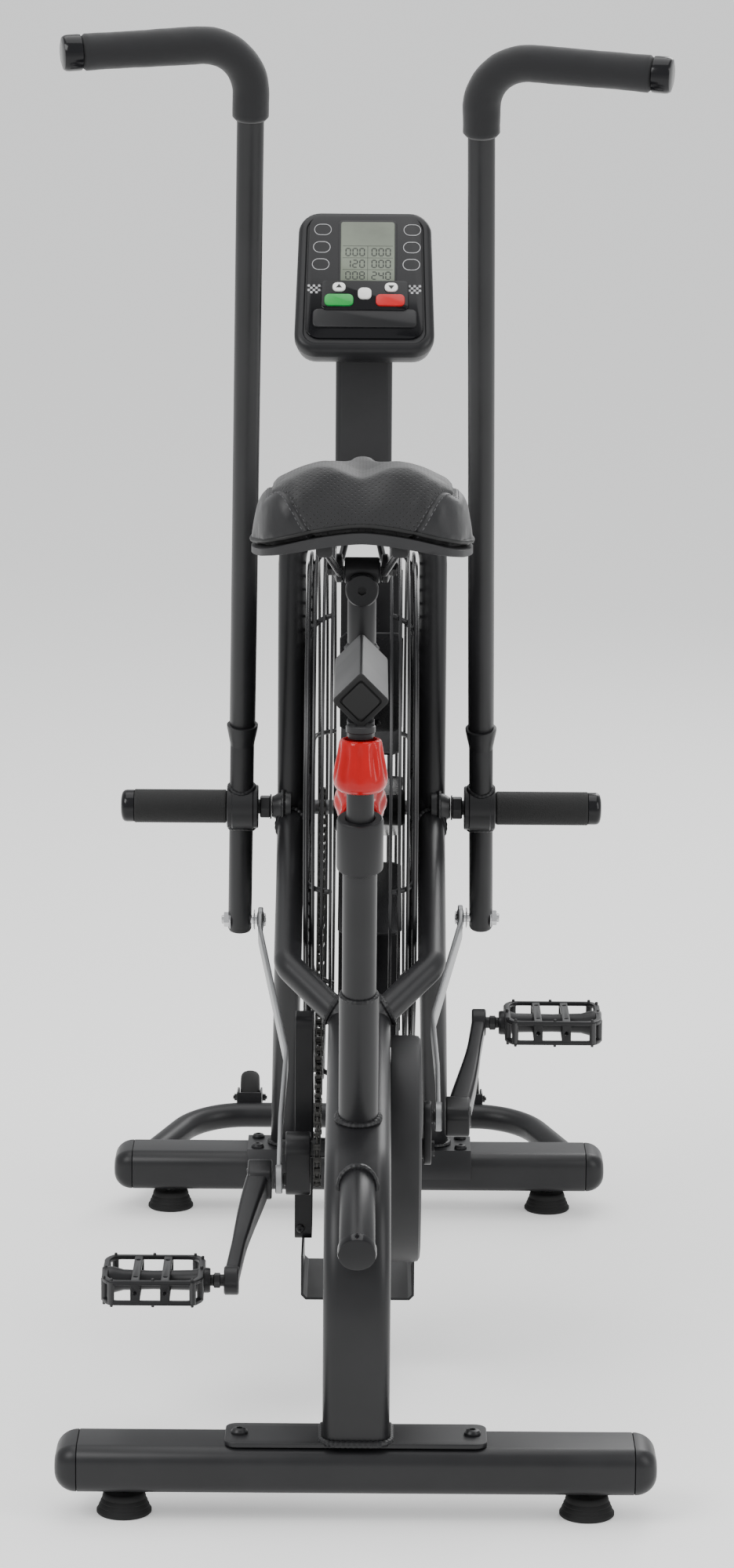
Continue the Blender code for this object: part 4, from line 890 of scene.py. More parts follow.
def outer_arm(name, side, pin, pedal):
    """A forged arm: a square boss with a rounded end, an I-shaped web that tapers, and the pedal's eye."""
    start, end = Vector((side * 0.101, pin.y, pin.z)), Vector((side * 0.1258, pedal.y, pedal.z))
    along = Vector((0, pedal.y - pin.y, pedal.z - pin.z)).normalized()
    square = X.cross(along)
    rings = []
    for step in range(25):
        t = step / 24
        ease = t * t * (3 - 2 * t)
        wide = 0.015 - 0.0058 * min(1.0, ease * 1.5)
        deep = 0.0118 - 0.0046 * min(1.0, ease * 1.3)
        groove = 0.0024 * math.sin(math.pi * min(max((t - 0.14) / 0.74, 0), 1)) ** 0.5
        centre = start.lerp(end, t) + X * side * 0.002 * math.sin(math.pi * t)
        ring = []
        for a, b in rounded(2 * wide, 2 * deep, deep * 0.42, 5):
            inward = groove * max(0.0, 1 - (abs(a) / (wide * 0.62)) ** 4)
            ring.append(centre + square * a + X * (b - math.copysign(inward, b)))
        rings.append(ring)
    around = [pin + square * a + along * (b + 0.0005) for a, b in rounded(0.035, 0.036, 0.0105, 6)]
    low, high = sorted((side * 0.0886, side * 0.1134))
    boss = slab([[p.yz for p in around]], low, high, 0.0022)
    eye = turned(mirrored([(0, -7.4), (13.2, -7.4), (14.5, -6)]), (side * 0.1255, pedal.y, pedal.z), X, 44)
    piece(f"pedal_arm_{name}", together(skin(rings), boss, eye), "forged", "crank", f"crank_outer_{name}")
    cap = [(0, -1), (11.2, -1), (11.2, 0.6), (10.4, 1.4), (8.6, 1.4), (8, 0.6), (5.6, 0.8, 6),
           (5.6, -0.4, 6), (0, -0.6)]
    bolt(f"arm_bolt_{name}", Vector((side * 0.1134, pin.y, pin.z)), X * side, "crank", cap)
    stub = [(0, 0), (6.8, 0), (6.8, 1.8), (5.8, 2.6), (0, 2.6)]
    bolt(f"crank_pin_{name}", Vector((side * 0.0744, pin.y, pin.z)), X * side, "crank", stub)
    rod = [(0, 0), (6, 0), (6, 4), (7.8, 4.5, 6), (7.8, 10, 6), (5.8, 11), (5, 20), (4.6, 113), (0, 113.5)]
    piece(f"pedal_spindle_{name}", turned(rod, (side * 0.1325, pedal.y, pedal.z), X * side, 36), "forged",
          "crank")


def pedal_cage(name, side, pedal):
    """An open platform: two thin octagonal rings joined by posts and straps, a barrel, and pins."""
    body = f"pedal_{name}_body"
    outline = [(-0.043, -0.0465), (0.043, -0.0465), (0.0505, -0.033), (0.0505, 0.033), (0.043, 0.0465),
               (-0.043, 0.0465), (-0.0505, 0.033), (-0.0505, -0.033)]
    wall = softened(outline, 0.006)
    hole = softened([(x * 0.885, y * 0.885) for x, y in outline], 0.006)
    at = Matrix.Translation((side * 0.203, pedal.y, pedal.z))
    ribs = (-0.0165, 0.013)
    shapes = []
    for level in (-0.0104, 0.0104):
        plane = at @ Matrix.Translation((0, 0, level))
        shapes.append(slab([wall, hole], 0, 0.0044, 0.0011, plane))
        for x in ribs:
            eyes = [circle(0.0022, 14, (x, y)) for y in (-0.029, 0.029)]
            shapes.append(slab([oblong(x, 0.0042, 0.043), *eyes], 0, 0.0034, 0.0007, plane))
    for x, y in outline:
        post = [Vector((x * 0.94, y * 0.94, z)) for z in (-0.011, 0.011)]
        shapes.append(moved(tube(post, 0.0034, 12), at))
    for x in ribs:
        for y in (-0.0446, 0.0446):
            upright = at @ Matrix.Translation((0, y, 0)) @ Matrix.Rotation(math.pi / 2, 4, "X")
            strap = [oblong(x, 0.0048, 0.0112), circle(0.0021, 14, (x, 0))]
            shapes.append(slab(strap, 0, 0.0028, 0.0006, upright))
    barrel = [(7.1, -56.5), (11.8, -56.5), (12.6, -54.5), (12.6, -47), (10.2, -38), (9.4, 0), (10.4, 30),
              (13.2, 40), (13.6, 49), (12.4, 51.2), (8.6, 51.2), (8.2, 47), (0, 46.8)]
    shapes.append(moved(turned(barrel, (0, 0, 0), X * side, 40), at))
    piece(f"pedal_frame_{name}", together(*shapes), "forged", body, f"pedal_{name}", sharp=40)
    pin = [(0, 0), (1.6, 0), (1.6, 2.2), (1.2, 2.7), (0, 2.8)]
    pins = []
    for x, y in ((-0.04, 0.0434), (-0.001, 0.0434), (0.04, 0.0434), (0.0478, 0.0345), (0.0478, 0.0)):
        for sign in (-1, 1):
            for level in (-1, 1):
                pins.append(turned(pin, at @ Vector((x * sign, y * sign, level * 0.012)), Z * level, 10))
    piece(f"pedal_pins_{name}", together(*pins), "forged", body)


for cage_name, cage_side in SIDES:
    cage(cage_name, cage_side)
fan()
chain()
chain_case()
crank_drum()
crank_housing()
crank_set()


# Swinging arms, links and pegs


def arm(name, side):
    """A handle in its own frame, whose origin is on the pivot and whose Z runs up the tube."""
    body = f"arm_{name}"
    pin = joint_place(f"link_{name}_swing") - AXLE
    within = Matrix.Translation(AXLE) @ Matrix.Rotation(math.atan2(pin.y, -pin.z), 4, "X")
    lever, grip_height, grip_x, hub_x, hub_radius = 0.138, 0.857, 0.308, 0.1305, 0.0249

    def up(height, back=0.0, out=None):
        reach = 0.131 - 0.0145 * height / grip_height if out is None else out
        return Vector((side * reach, -back, height))

    lower = tube([up(-lever - 0.0125), up(0.0795)], 0.013, 32, edge=0.003)
    swage = [(0, 0), (13.1, 0), (13.4, 3), (15.2, 12), (16.8, 20.5), (17, 23.5), (16, 24), (0, 24)]
    swage = turned(swage, up(0.0745), up(0.2) - up(0.1), 44)
    piece(f"arm_lower_{name}", together(lower, swage), body=body, node=f"handle_lower_{name}",
          within=within)
    hub = mirrored([(8.7, -17.1), (22.8, -17.1), (23.8, -16), (23.8, -12), (25, -11)])
    piece(f"arm_hub_{name}", turned([*hub, hub[0]], (side * 0.12945, 0, 0), X, 56), body=body,
          within=within)
    for tag, sign in (("low", -1), ("high", 1)):
        ring = cut_ring(Vector((side * hub_x, 0, 0)), Z, 0.0136, Z, 40)
        ring = [Vector((p.x, p.y, sign * math.sqrt(hub_radius**2 - p.y**2))) for p in ring]
        weld(f"arm_weld_{name}_{tag}", ring, 0.0019, body, within)
    link_bolt(name, body, within, Vector((side * hub_x, 0, -lever)), X * side)

    path = bent([up(0.094), up(grip_height), up(grip_height, 0.045, grip_x - 0.0085)], 0.052, 22)
    piece(f"arm_tube_{name}", tube(path, 0.014, 32, edge=0.0005), body=body, node=f"handle_upper_{name}",
          within=within)
    grip(name, side, body, within, [up(0.776), *path[1:]])


def link_bolt(name, body, within, at, outward):
    """The pin that holds the link: a bolt through the tube's flat end with washers, a spacer and a nut."""
    parts = [turned([(0, -26.2), (4.7, -26.2), (4.7, 22.5), (4, 23.2), (0, 23.2)], at, outward, 28)]
    rings = ((-14, -12.5, 11.2, 0), (12.5, 14.2, 10.8, 0), (14.3, 20.5, 8.2, 6), (-25.6, -24, 7.2, 0))
    for near, far, radius, sides in rings:
        ring = [(0, near), (radius - 0.6, near, sides), (radius, near + 0.6, sides),
                (radius, far - 0.6, sides), (radius - 0.6, far, sides), (0, far)]
        parts.append(turned(ring, at, outward, 36))
    piece(f"link_bolt_{name}", together(*parts), "chrome", body, within=within, sharp=28)


def grip(name, side, body, within, path):
    """A foam sleeve, rounded off at its ends and a little uneven along it, and a glossy end plug."""
    spacing = 0.0035
    outward = (path[-1] - path[-2]).normalized()
    end = path[-1] - outward * 0.013
    dense = [*divided([*path[:-1], end], spacing), end]
    scales = []
    for i in range(len(dense)):
        from_end = min(i, len(dense) - 1 - i) * spacing
        roll = 1 - 0.16 * math.exp(-((from_end / 0.0016) ** 2))
        scales.append(roll * (1 + 0.012 * math.sin(i * 0.21) + 0.012 * math.sin(i * 0.083 + side)))
    points, faces = sweep(dense, circle(0.0188, 40), scales=scales)
    soft = []
    for point in points:
        wander = noise.noise(point * 55) * 0.00045 + noise.noise(point * 190) * 0.00018
        near = min(dense[::4], key=lambda centre: (centre - point).length_squared)
        soft.append(point + (point - near).normalized() * wander)
    piece(f"foam_grip_{name}", (soft, faces), "foam", body, f"grip_{name}", within, sharp=60)
    plug = [(0, -0.6), (17.2, -0.6), (18.2, 0.2), (18.5, 3), (18.5, 13), (18, 16), (16.6, 18.2),
            (13, 19.2), (0, 19.4)]
    piece(f"grip_plug_{name}", turned(plug, end + outward * 0.001, outward, 48), "gloss", body,
          f"grip_cap_{name}", within)


def link(name, side):
    """A flat bar set sideways by two bends, with a rod-end bearing at each eye."""
    body = f"link_{name}_body"
    top, pin = joint_place(f"link_{name}_swing"), crank_spot(side, PIN_REACH, PIN_LEAD)
    along = Vector((0, pin.y - top.y, pin.z - top.z))
    length = along.length
    within = Matrix.Translation((0, top.y, top.z)) @ Matrix.Rotation(math.atan2(along.z, along.y), 4, "X")
    arm_x, waist_x, crank_x = side * 0.1105, side * 0.0775, side * 0.0815
    spine = bent([(arm_x, 0, 0), (arm_x, 0.062 * length, 0), (waist_x, 0.55 * length, 0),
                  (crank_x, 0.8 * length, 0), (crank_x, length, 0)], 0.1, 10)
    rings = []
    for i, centre in enumerate(spine):
        run = (spine[min(i + 1, len(spine) - 1)] - spine[max(i - 1, 0)]).normalized()
        across = Z.cross(run)
        half = 0.0112 + 0.002 * max(0.0, 1 - min(centre.y, length - centre.y) / 0.03)
        rings.append([centre + across * a + Z * b for a, b in rounded(0.0046, 2 * half, 0.0012, 3)])
    shapes = [skin(rings)]
    for x, y, radius, half in ((arm_x, 0.0, 14, 2.8), (crank_x, length, 15, 3.6)):
        eye = mirrored([(0, -half), (radius - 1, -half), (radius, 1 - half)])
        shapes.append(turned(eye, (x, y, 0), X, 48))
    piece(f"link_bar_{name}", together(*shapes), "bar", body, f"link_{name}", within)
    for tag, x, y, reach in (("upper", arm_x, 0.0, 4.2), ("lower", crank_x, length, 4)):
        race = mirrored([(0, -reach), (5.8, -reach), (8.2, 0.6 - reach), (9.8, 1.4 - reach)])
        piece(f"link_bearing_{tag}_{name}", turned(race, (x, y, 0), X, 40), "chrome", body, within=within)


def peg(name, side):
    """The pivot's hexagon and the knurled foot peg with its domed cap."""
    outward = X * side
    shank = [(0, 98), (13.6, 98), (13.8, 99.6), (12.1, 99.8, 6), (12.8, 100.6, 6), (12.8, 109.2, 6),
             (12, 110.4, 6), (8, 110.6), (8, 148), (0, 148)]
    piece(f"pivot_hex_{name}", turned(shank, AXLE, outward, 48), "forged", node=f"pivot_bolt_{name}",
          sharp=28)
    sleeve = [(0, 147.2), (17.2, 147.2), (18.2, 148), (18.4, 149.5)]
    for ridge in range(38):
        height = 150.5 + ridge * 2.5
        sleeve += [(18.4, height), (18.2, height + 1.2)]
    sleeve += [(18.4, 246), (18, 247.6), (0, 247.8)]
    piece(f"peg_sleeve_{name}", turned(sleeve, AXLE, outward, 60), "knurl", node=f"foot_peg_{name}")
    cap = [(0, 247.4), (16.8, 247.4), (17.7, 248.4), (17.7, 256), (17.2, 258.6), (15, 261), (10, 262.4),
           (0, 262.8)]
    piece(f"peg_cap_{name}", turned(cap, AXLE, outward, 48), "gloss")


for arm_name, arm_side in SIDES:
    arm(arm_name, arm_side)
    link(arm_name, arm_side)
    peg(arm_name, arm_side)


# Seat post, slider and knobs

GUIDE_HEIGHT, GUIDE_REAR, RISER_Y = 0.781, 0.0216, 0.3
KNOB = ((0, -4), (13, -3.6), (14.6, -0.8), (16.5, 0), (19, -1), (20, -3.5, 0.04), (20.8, -8.5, 0.1),
        (22.2, -16.5, 0.12), (23.8, -24.5, 0.11), (25, -31.5, 0.08), (25.5, -36.5, 0.04), (25, -41.2),
        (23.2, -45.6), (19.5, -49), (14, -50.8), (7, -51.4), (0, -51.5))


def diamond(y, half, corner):
    """The section, at one place along the bike, of a square bar that stands on one edge."""
    turn = Matrix.Rotation(math.pi / 4, 2)
    section = [turn @ Vector(p) for p in rounded(2 * half, 2 * half, corner, 5)]
    return [place(p.x, y, GUIDE_HEIGHT + p.y) for p in section]


def saddled(ring, height):
    """A ring of points laid on the guide's sloping upper faces, or its lower ones for a negative height."""
    slope = 0.98
    return [Vector((p.x, p.y, GUIDE_HEIGHT + height - math.copysign(abs(p.x) * slope, height)))
            for p in ring]


def seat_post():
    piece("post_tube", tube([seat_axis(0.44), seat_axis(0.758)], 0.0129, 32, edge=0.0006), body="post",
          node="seat_post")
    front = 0.25
    rings = [diamond(y, half, corner) for y, half, corner in
             ((GUIDE_REAR, 0.019, 0.0034), (front, 0.019, 0.0034), (front, 0.0143, 0.0016),
              (GUIDE_REAR, 0.0143, 0.0016))]
    piece("guide_tube", skin(rings, closed=True), body="post", bevel=0.0006)
    plug = ((GUIDE_REAR, 0.0188, 0.0034), (0.0194, 0.019, 0.0036), (0.0186, 0.0182, 0.0034),
            (0.0186, 0.0146, 0.003), (0.0204, 0.0142, 0.003), (0.0204, 0.013, 0.0028),
            (0.0168, 0.0128, 0.0028), (0.0161, 0.0121, 0.0026), (0.016, 0.011, 0.0022))
    piece("guide_end_plug", skin([diamond(*entry) for entry in plug]), "rubber", "post")
    weld("guide_weld", saddled(cut_ring(seat_axis(0.7555), SEAT_UP, 0.0138, Z, 40), -0.0258), 0.0022,
         "post")
    boss = [(4, 0), (12.8, 0), (13.8, -0.8), (13.8, -6), (13.2, -6.6), (11.8, -7), (11.8, -12), (4, -12),
            (4, 0)]
    piece("slider_knob_boss", turned(boss, place(0, 0.0225, 0.758), Z), "forged", "post")


def knobs():
    piece("slider_lock_knob", turned(KNOB, place(0, 0.0185, 0.746), Z, 80), "red", "slider_lock",
          "slider_knob", sharp=50)
    start = seat_axis(KNOB_HEIGHT) + SEAT_OUT * 0.0284
    piece("height_knob", turned(KNOB, start, -SEAT_OUT, 80), "red", "post_pin", "post_knob", sharp=50)
    pin = [(0, 0), (4.5, 0), (4.5, 15), (0, 15)]
    piece("height_pin", turned(pin, start - SEAT_OUT * 0.0148, SEAT_OUT, 24), "zinc", "post_pin")


def slider():
    bar = skin([diamond(y, 0.0124, 0.002) for y in (0.08, 0.32)])
    piece("slider_bar", bar, body="slider", node="seat_slider", bevel=0.0005)
    plug = ((0.3195, 0.012), (0.3205, 0.0132), (0.3216, 0.0132), (0.322, 0.0124))
    piece("slider_plug", skin([diamond(y, half, 0.002) for y, half in plug]), "rubber", "slider")
    riser = tube([place(0, RISER_Y, 0.79), place(0, RISER_Y, 0.857)], 0.0141, 32, edge=0.0005)
    piece("slider_riser", riser, body="slider")
    weld("riser_weld", saddled(cut_ring(place(0, RISER_Y, 0.796), Z, 0.0148, Z, 40), 0.018), 0.0022,
         "slider")
    barrel = mirrored([(0, -17.2), (11.8, -17.2), (12.8, -16.2)])
    piece("clamp_barrel", turned(barrel, place(0, RISER_Y, 0.862), X, 48), "forged", "slider")
    disc = [(0, 0), (15, 0), (16.3, 1.2), (16.3, 11), (15, 13.2), (7, 13.8), (4.6, 13.6, 6), (4.6, 8, 6),
            (0, 7.8)]
    piece("clamp_bolt_head", turned(disc, place(0, 0.289, 0.845), -Y, 44), "forged", "slider", sharp=30)


seat_post()
knobs()
slider()


# Console, in its own frame: X to the right, Y up its face and Z out of it

KEY_AXIS = Vector(JOINTS["key_enter_press"]["axis"]).normalized()
CONSOLE = (Matrix.Translation(corners("key_enter")[2])
           @ Matrix((X, X.cross(KEY_AXIS), -KEY_AXIS)).transposed().to_4x4()
           @ Matrix.Translation((0, 0.0205, -0.0052)))
CONSOLE_WIDTH, CONSOLE_HEIGHT, CONSOLE_DEPTH = 0.1466, 0.178, 0.042
INK = 0.00012
FIGURES = {0: "abcdef", 1: "bc", 2: "abged", 4: "fgbc", 8: "abcdefg"}
BARS = {"a": (0, 1, False), "g": (0, 0.5, False), "d": (0, 0, False), "f": (-0.5, 0.75, True),
        "b": (0.5, 0.75, True), "e": (-0.5, 0.25, True), "c": (0.5, 0.25, True)}


def tapered(width, height, corner, up=0.0):
    """A rounded outline that narrows a little towards its top."""
    return [(x * (1 - 0.06 * y / CONSOLE_HEIGHT), y + up) for x, y in rounded(width, height, corner, 8)]


def raised(outline, low, high, edge=0.0005):
    """An outline raised between two heights along Z, with a softened upper rim."""
    centre = sum((Vector(p) for p in outline), Vector((0, 0))) / len(outline)
    rings = []
    for z, inset in ((low, 0.0), (high - edge, 0.0), (high - edge * 0.3, edge * 0.35), (high, edge)):
        steps = [centre - Vector(p) for p in outline]
        inner = [Vector(p) + step.normalized() * min(inset, step.length) for p, step in zip(outline, steps)]
        rings.append(flat(inner, z))
    return skin(rings)


def printed_ring(width, height, at, line=0.0006):
    """A thin printed line with round ends."""
    outer = shift(rounded(width, height, height / 2 - 0.0001, 8), *at)
    inner = shift(rounded(width - 2 * line, height - 2 * line, height / 2 - line - 0.0001, 8), *at)
    thick = 0.0003
    return skin([flat(outer, 0.0), flat(outer, thick), flat(inner, thick), flat(inner, 0.0)], closed=True)


def digit(value, at, height):
    """A seven-segment figure."""
    width, thick = height * 0.52, height * 0.14
    shapes = []
    for bar in FIGURES[value]:
        x, y, standing = BARS[bar]
        size = (thick, height * 0.42) if standing else (width * 0.8, thick)
        outline = shift(rounded(*size, thick * 0.45, 2), at[0] + x * width, at[1] + y * height)
        shapes.append(plate(outline, 0.0, INK))
    return together(*shapes)


def on_console(name, shape, finish, body="frame", node=None, lift=0.0):
    return piece(name, shape, finish, body, node, CONSOLE @ Matrix.Translation((0, 0, lift)))


def console_shell(name, levels, node=None):
    """Part of the console's shell, from the heights and insets of its outline."""
    rings = []
    for z, inset in levels:
        outline = tapered(CONSOLE_WIDTH - 2 * inset, CONSOLE_HEIGHT - 2 * inset, 0.024 - inset)
        rings.append(flat(outline, z))
    on_console(name, skin(rings), "plastic", node=node)


def display():
    middle = (0.003, 0.0335)
    on_console("display_bezel", raised(shift(rounded(0.063, 0.085, 0.005, 6), *middle), 0.0006, 0.0018),
               "plastic")
    on_console("display_glass", raised(shift(rounded(0.058, 0.08, 0.003, 5), *middle), 0.0012, 0.0021,
                                       0.0004), "lcd")
    figures = []
    for cell, values in enumerate(((0, 0, 0), (0, 0, 0), (1, 2, 0), (0, 0, 0), (0, 0, 8), (2, 4, 0))):
        row, column = divmod(cell, 2)
        for place_of, value in enumerate(values):
            x = -0.018 + column * 0.028 + place_of * 0.0075
            figures.append(digit(value, (x, 0.03 - row * 0.015), 0.0092))
    glass = 0.00205
    on_console("display_figures", together(*figures), "segment", lift=glass)
    line = 0.00045
    rules = [shift(rounded(0.054, line, 0.0002, 1), middle[0], y) for y in (0.0425, 0.0272, 0.0122)]
    rules.append(shift(rounded(line, 0.044, 0.0002, 1), middle[0], 0.0205))
    on_console("display_rules", together(*[plate(rule, 0.0, INK) for rule in rules]), "segment", lift=glass)


def prints():
    """The outlines beside the display and the two chequered patches under them."""
    surface = 0.001
    spots = ((-0.0455, 0.064), (-0.0465, 0.0415), (-0.0475, 0.0195), (0.051, 0.064), (0.0505, 0.0415),
             (0.05, 0.0195))
    on_console("console_outlines", together(*[printed_ring(0.0186, 0.0142, at) for at in spots]), "print",
               lift=surface)
    square, pitch = 0.0026, 0.0028
    checks = []
    for left in (-0.06, 0.048):
        for row in range(4):
            for column in range(row % 2, 5, 2):
                outline = shift(rounded(square, square, 0.0003, 1), left + column * pitch,
                                -0.008 - row * pitch)
                checks.append(plate(outline, 0.0, 0.00025))
    on_console("console_checks", together(*checks), "print", lift=surface)


def keys():
    centre = 0.0003
    on_console("key_panel", raised(shift(rounded(0.094, 0.037, 0.006, 6), centre, -0.0218), 0.0006,
                                   0.0049, 0.0012), "gloss")
    on_console("console_ledge", raised(shift(rounded(0.112, 0.023, 0.006, 6), centre, -0.05), 0.0006,
                                       0.0036, 0.0016), "plastic")
    top = 0.0071
    for name, x, y, wide, high, finish in (("up", -0.0275, -0.0125, 0.014, 0.011, "key_white"),
                                           ("down", 0.0285, -0.0125, 0.014, 0.011, "key_white"),
                                           ("enter", 0.0, -0.0205, 0.0145, 0.014, "key_white"),
                                           ("start", -0.0275, -0.029, 0.031, 0.0145, "key_green"),
                                           ("stop", 0.0275, -0.029, 0.031, 0.0145, "key_red")):
        shape = raised(shift(rounded(wide, high, 0.0052, 6), x, y), 0.0044, top, 0.0009)
        on_console(f"{name}_button", shape, finish, f"button_{name}", f"key_{name}")
        tip = {"up": 0.0032, "down": -0.0032}.get(name)
        if tip:
            arrow = [(x - 0.0034, y - tip / 2), (x + 0.0034, y - tip / 2), (x, y + tip)]
            on_console(f"{name}_arrow_0", plate(arrow, top - 0.0001, top + 0.00015), "segment",
                       f"button_{name}")


def console():
    depth = CONSOLE_DEPTH
    console_shell("console_rear_shell",
                  ((-depth, 0.018), (-depth + 0.0012, 0.0145), (-depth * 0.86, 0.0085),
                   (-depth * 0.7, 0.004), (-depth * 0.5, 0.0016), (-depth * 0.34, 0.0006)),
                  "console_body")
    console_shell("console_front_shell",
                  ((-depth * 0.335, 0.0014), (-depth * 0.325, 0.0001), (-0.006, 0.0), (-0.0034, 0.001),
                   (-0.0012, 0.003), (-0.0002, 0.0058), (0.0, 0.0085), (-0.0012, 0.01)))
    on_console("console_overlay", raised(tapered(0.1235, 0.156, 0.015, 0.004), -0.0016, 0.001), "gloss",
               node="console_face")
    display()
    prints()
    keys()


def mast():
    """The flat tube under the console, its top cut along the console's back, and its socket on the hoop."""
    at, bottom = place(0, 0.8, 0), 0.8995
    back = CONSOLE @ Vector((0, 0, -CONSOLE_DEPTH - 0.0004))
    foot_ring, edge_ring, top_ring = [], [], []
    for x, y in rounded(0.061, 0.04, 0.0075, 8):
        foot_ring.append(Vector((x * 0.97, at.y + y * 0.97, bottom)))
        edge_ring.append(Vector((x, at.y + y, bottom + 0.0012)))
        height = back.z - KEY_AXIS.y * (at.y + y - back.y) / KEY_AXIS.z
        top_ring.append(Vector((x, at.y + y, height)))
    piece("mast_post", skin([foot_ring, edge_ring, top_ring]), node="console_mast")
    socket = [Vector((0, at.y, z)) for z in (0.852, 0.899)]
    piece("mast_socket", sweep(socket, rounded(0.046, 0.066, 0.0085, 8), up=Y, edge=0.0012))
    weld("mast_weld", flat(shift(rounded(0.0625, 0.0415, 0.008, 8), 0, at.y), 0.8992), 0.002)


console()
mast()


# Saddle

TAIL, NOSE = 0.132, 0.404
LENGTH = NOSE - TAIL
WIDEST, NOSE_HALF = 0.11, 0.026
BEND, BEND_HEIGHT = TAIL + 0.045, 0.915


def half_width(share):
    """Half the saddle's width, from its tail at 0 to its nose at 1."""
    shoulder = 0.32
    if share < shoulder:
        return WIDEST * (0.86 + 0.14 * math.sin(math.pi / 2 * share / shoulder))
    ease = (1 + math.cos(math.pi * min((share - shoulder) / 0.5, 1.0))) / 2
    nose = NOSE_HALF * math.sqrt(max(1.0 - (max(share - 0.86, 0.0) / 0.14) ** 2, 0.25))
    return nose + (WIDEST - NOSE_HALF) * ease


def underside(share, x):
    return 0.921 - 0.004 * share - 0.022 * (abs(x) / WIDEST) ** 1.6


def end_round(share, tail, nose):
    """1 along the middle of the saddle, falling to 0 at both ends as a quarter circle does."""
    value = 1.0
    for near in (share * LENGTH / tail, (1 - share) * LENGTH / nose):
        if near < 1:
            value *= math.sqrt(max(1 - (1 - near) ** 2, 0.0))
    return value


def crowded(count):
    """Shares from 0 to 1 that lie closer together towards both ends."""
    return [0.5 - 0.5 * math.cos(math.pi * i / count) for i in range(count + 1)]


def saddle_form():
    """The pad before it is filled out: a crowned section with two cheeks either side of a channel."""
    steps, edge, inset = 30, 0.01, 0.002
    rings = []
    for share in crowded(44):
        soft = end_round(share, 0.034, 0.03)
        wide = half_width(share) * (0.8 + 0.2 * soft) - inset
        thick = (0.061 - 0.016 * share) * (0.3 + 0.7 * soft)
        y = TAIL + inset + (LENGTH - 2 * inset) * share
        ring = []
        for step in range(steps + 1):
            x = wide * (2 * step / steps - 1)
            ring.append(place(x, y, underside(share, x) + 0.0012))
        for step in range(1, steps):
            across = 1 - 2 * step / steps
            x = wide * math.copysign(abs(across) ** 0.92, across)
            crown = (1 - abs(across) ** 3.4) ** 0.62
            channel = 0.015 * math.exp(-((x / 0.021) ** 2)) * min(1.0, max(0.0, (0.86 - share) / 0.3))
            ring.append(place(x, y, underside(share, x * 0.75) + edge + (thick - edge) * crown - channel))
        rings.append(ring)
    return skin(rings)


def apply_modifiers(made):
    mesh = evaluated(made)
    made.modifiers.clear()
    old = made.data
    made.data = mesh
    bpy.data.meshes.remove(old)


def coordinates(made):
    return np.array([v.co[:] for v in made.data.vertices])


def fill_out(made, cap):
    """Swells the pad like stuffed vinyl, with no point moving further than the cap."""
    remesh = made.modifiers.new("remesh", "REMESH")
    remesh.mode = "VOXEL"
    remesh.voxel_size = 0.0048
    apply_modifiers(made)
    before = coordinates(made)
    cloth = made.modifiers.new("cloth", "CLOTH")
    cloth.settings.use_pressure = True
    cloth.settings.uniform_pressure_force = 4.0
    cloth.settings.effector_weights.gravity = 0
    cloth.settings.mass = 0.3
    for frame_number in range(1, 21):
        bpy.context.scene.frame_set(frame_number)
    apply_modifiers(made)
    bpy.context.scene.frame_set(1)
    step = coordinates(made) - before
    size = np.linalg.norm(step, axis=1, keepdims=True)
    step *= np.minimum(1.0, cap / np.maximum(size, 1e-9))
    rim_height = 0.905
    step[before[:, 2] < rim_height] *= 0.2
    made.data.vertices.foreach_set("co", (before + step).ravel())
    soften = made.modifiers.new("soften", "SMOOTH")
    soften.factor = 0.5
    soften.iterations = 3
    finer = made.modifiers.new("finer", "SUBSURF")
    finer.levels = 2
    apply_modifiers(made)


def top_edge(share):
    """Half the perforated panel's width along the top."""
    return min(0.088, 0.84 * half_width(share))


def tail_edge(rise):
    """Half the perforated panel's width on the tail's face, whose foot is at 0 and whose top is at 1."""
    return 0.046 + 0.042 * rise


def seam_guides(tree):
    """The panel's two seams as points and normals: up the tail's face, then along the top to the nose."""
    guides = []
    for side in (-1, 1):
        hits = []
        for step in range(24):
            rise = step / 24
            angle = rise * math.pi / 2
            start = place(side * tail_edge(rise), BEND, BEND_HEIGHT)
            hits.append(tree.ray_cast(start, Vector((0, -math.cos(angle), math.sin(angle)))))
        for step in range(40):
            share = (BEND - TAIL) / LENGTH + 0.78 * step / 39
            hits.append(tree.ray_cast(place(side * top_edge(share), TAIL + LENGTH * share, 1.1), -Z))
        guides.append([hit[:2] for hit in hits if hit[0]])
    return guides


def even(path, spacing):
    """Points, normals and directions at even distances along a path of points and normals."""
    result = []
    carry = 0.0
    for (a, na), (b, nb) in zip(path, path[1:]):
        length = (b - a).length
        along = (b - a).normalized()
        while carry < length:
            t = carry / length
            result.append((a.lerp(b, t), na.lerp(nb, t).normalized(), along))
            carry += spacing
        carry -= length
    return result


def stitches(tree, path, aside):
    """A row of thread stitches that sits in the pad beside a seam."""
    spacing, half, dip = 0.005, 0.00165, 0.0006
    shapes = []
    for at, normal, along in even(path, spacing):
        across = normal.cross(along).normalized()
        centre, normal = tree.find_nearest(at + across * aside)[:2]
        spine = [centre + along * half * reach - normal * dip * (abs(reach) == 1)
                 for reach in (-1, -0.5, 0.5, 1)]
        shapes.append(sweep(spine, circle(0.0005, 6), up=normal))
    return together(*shapes)


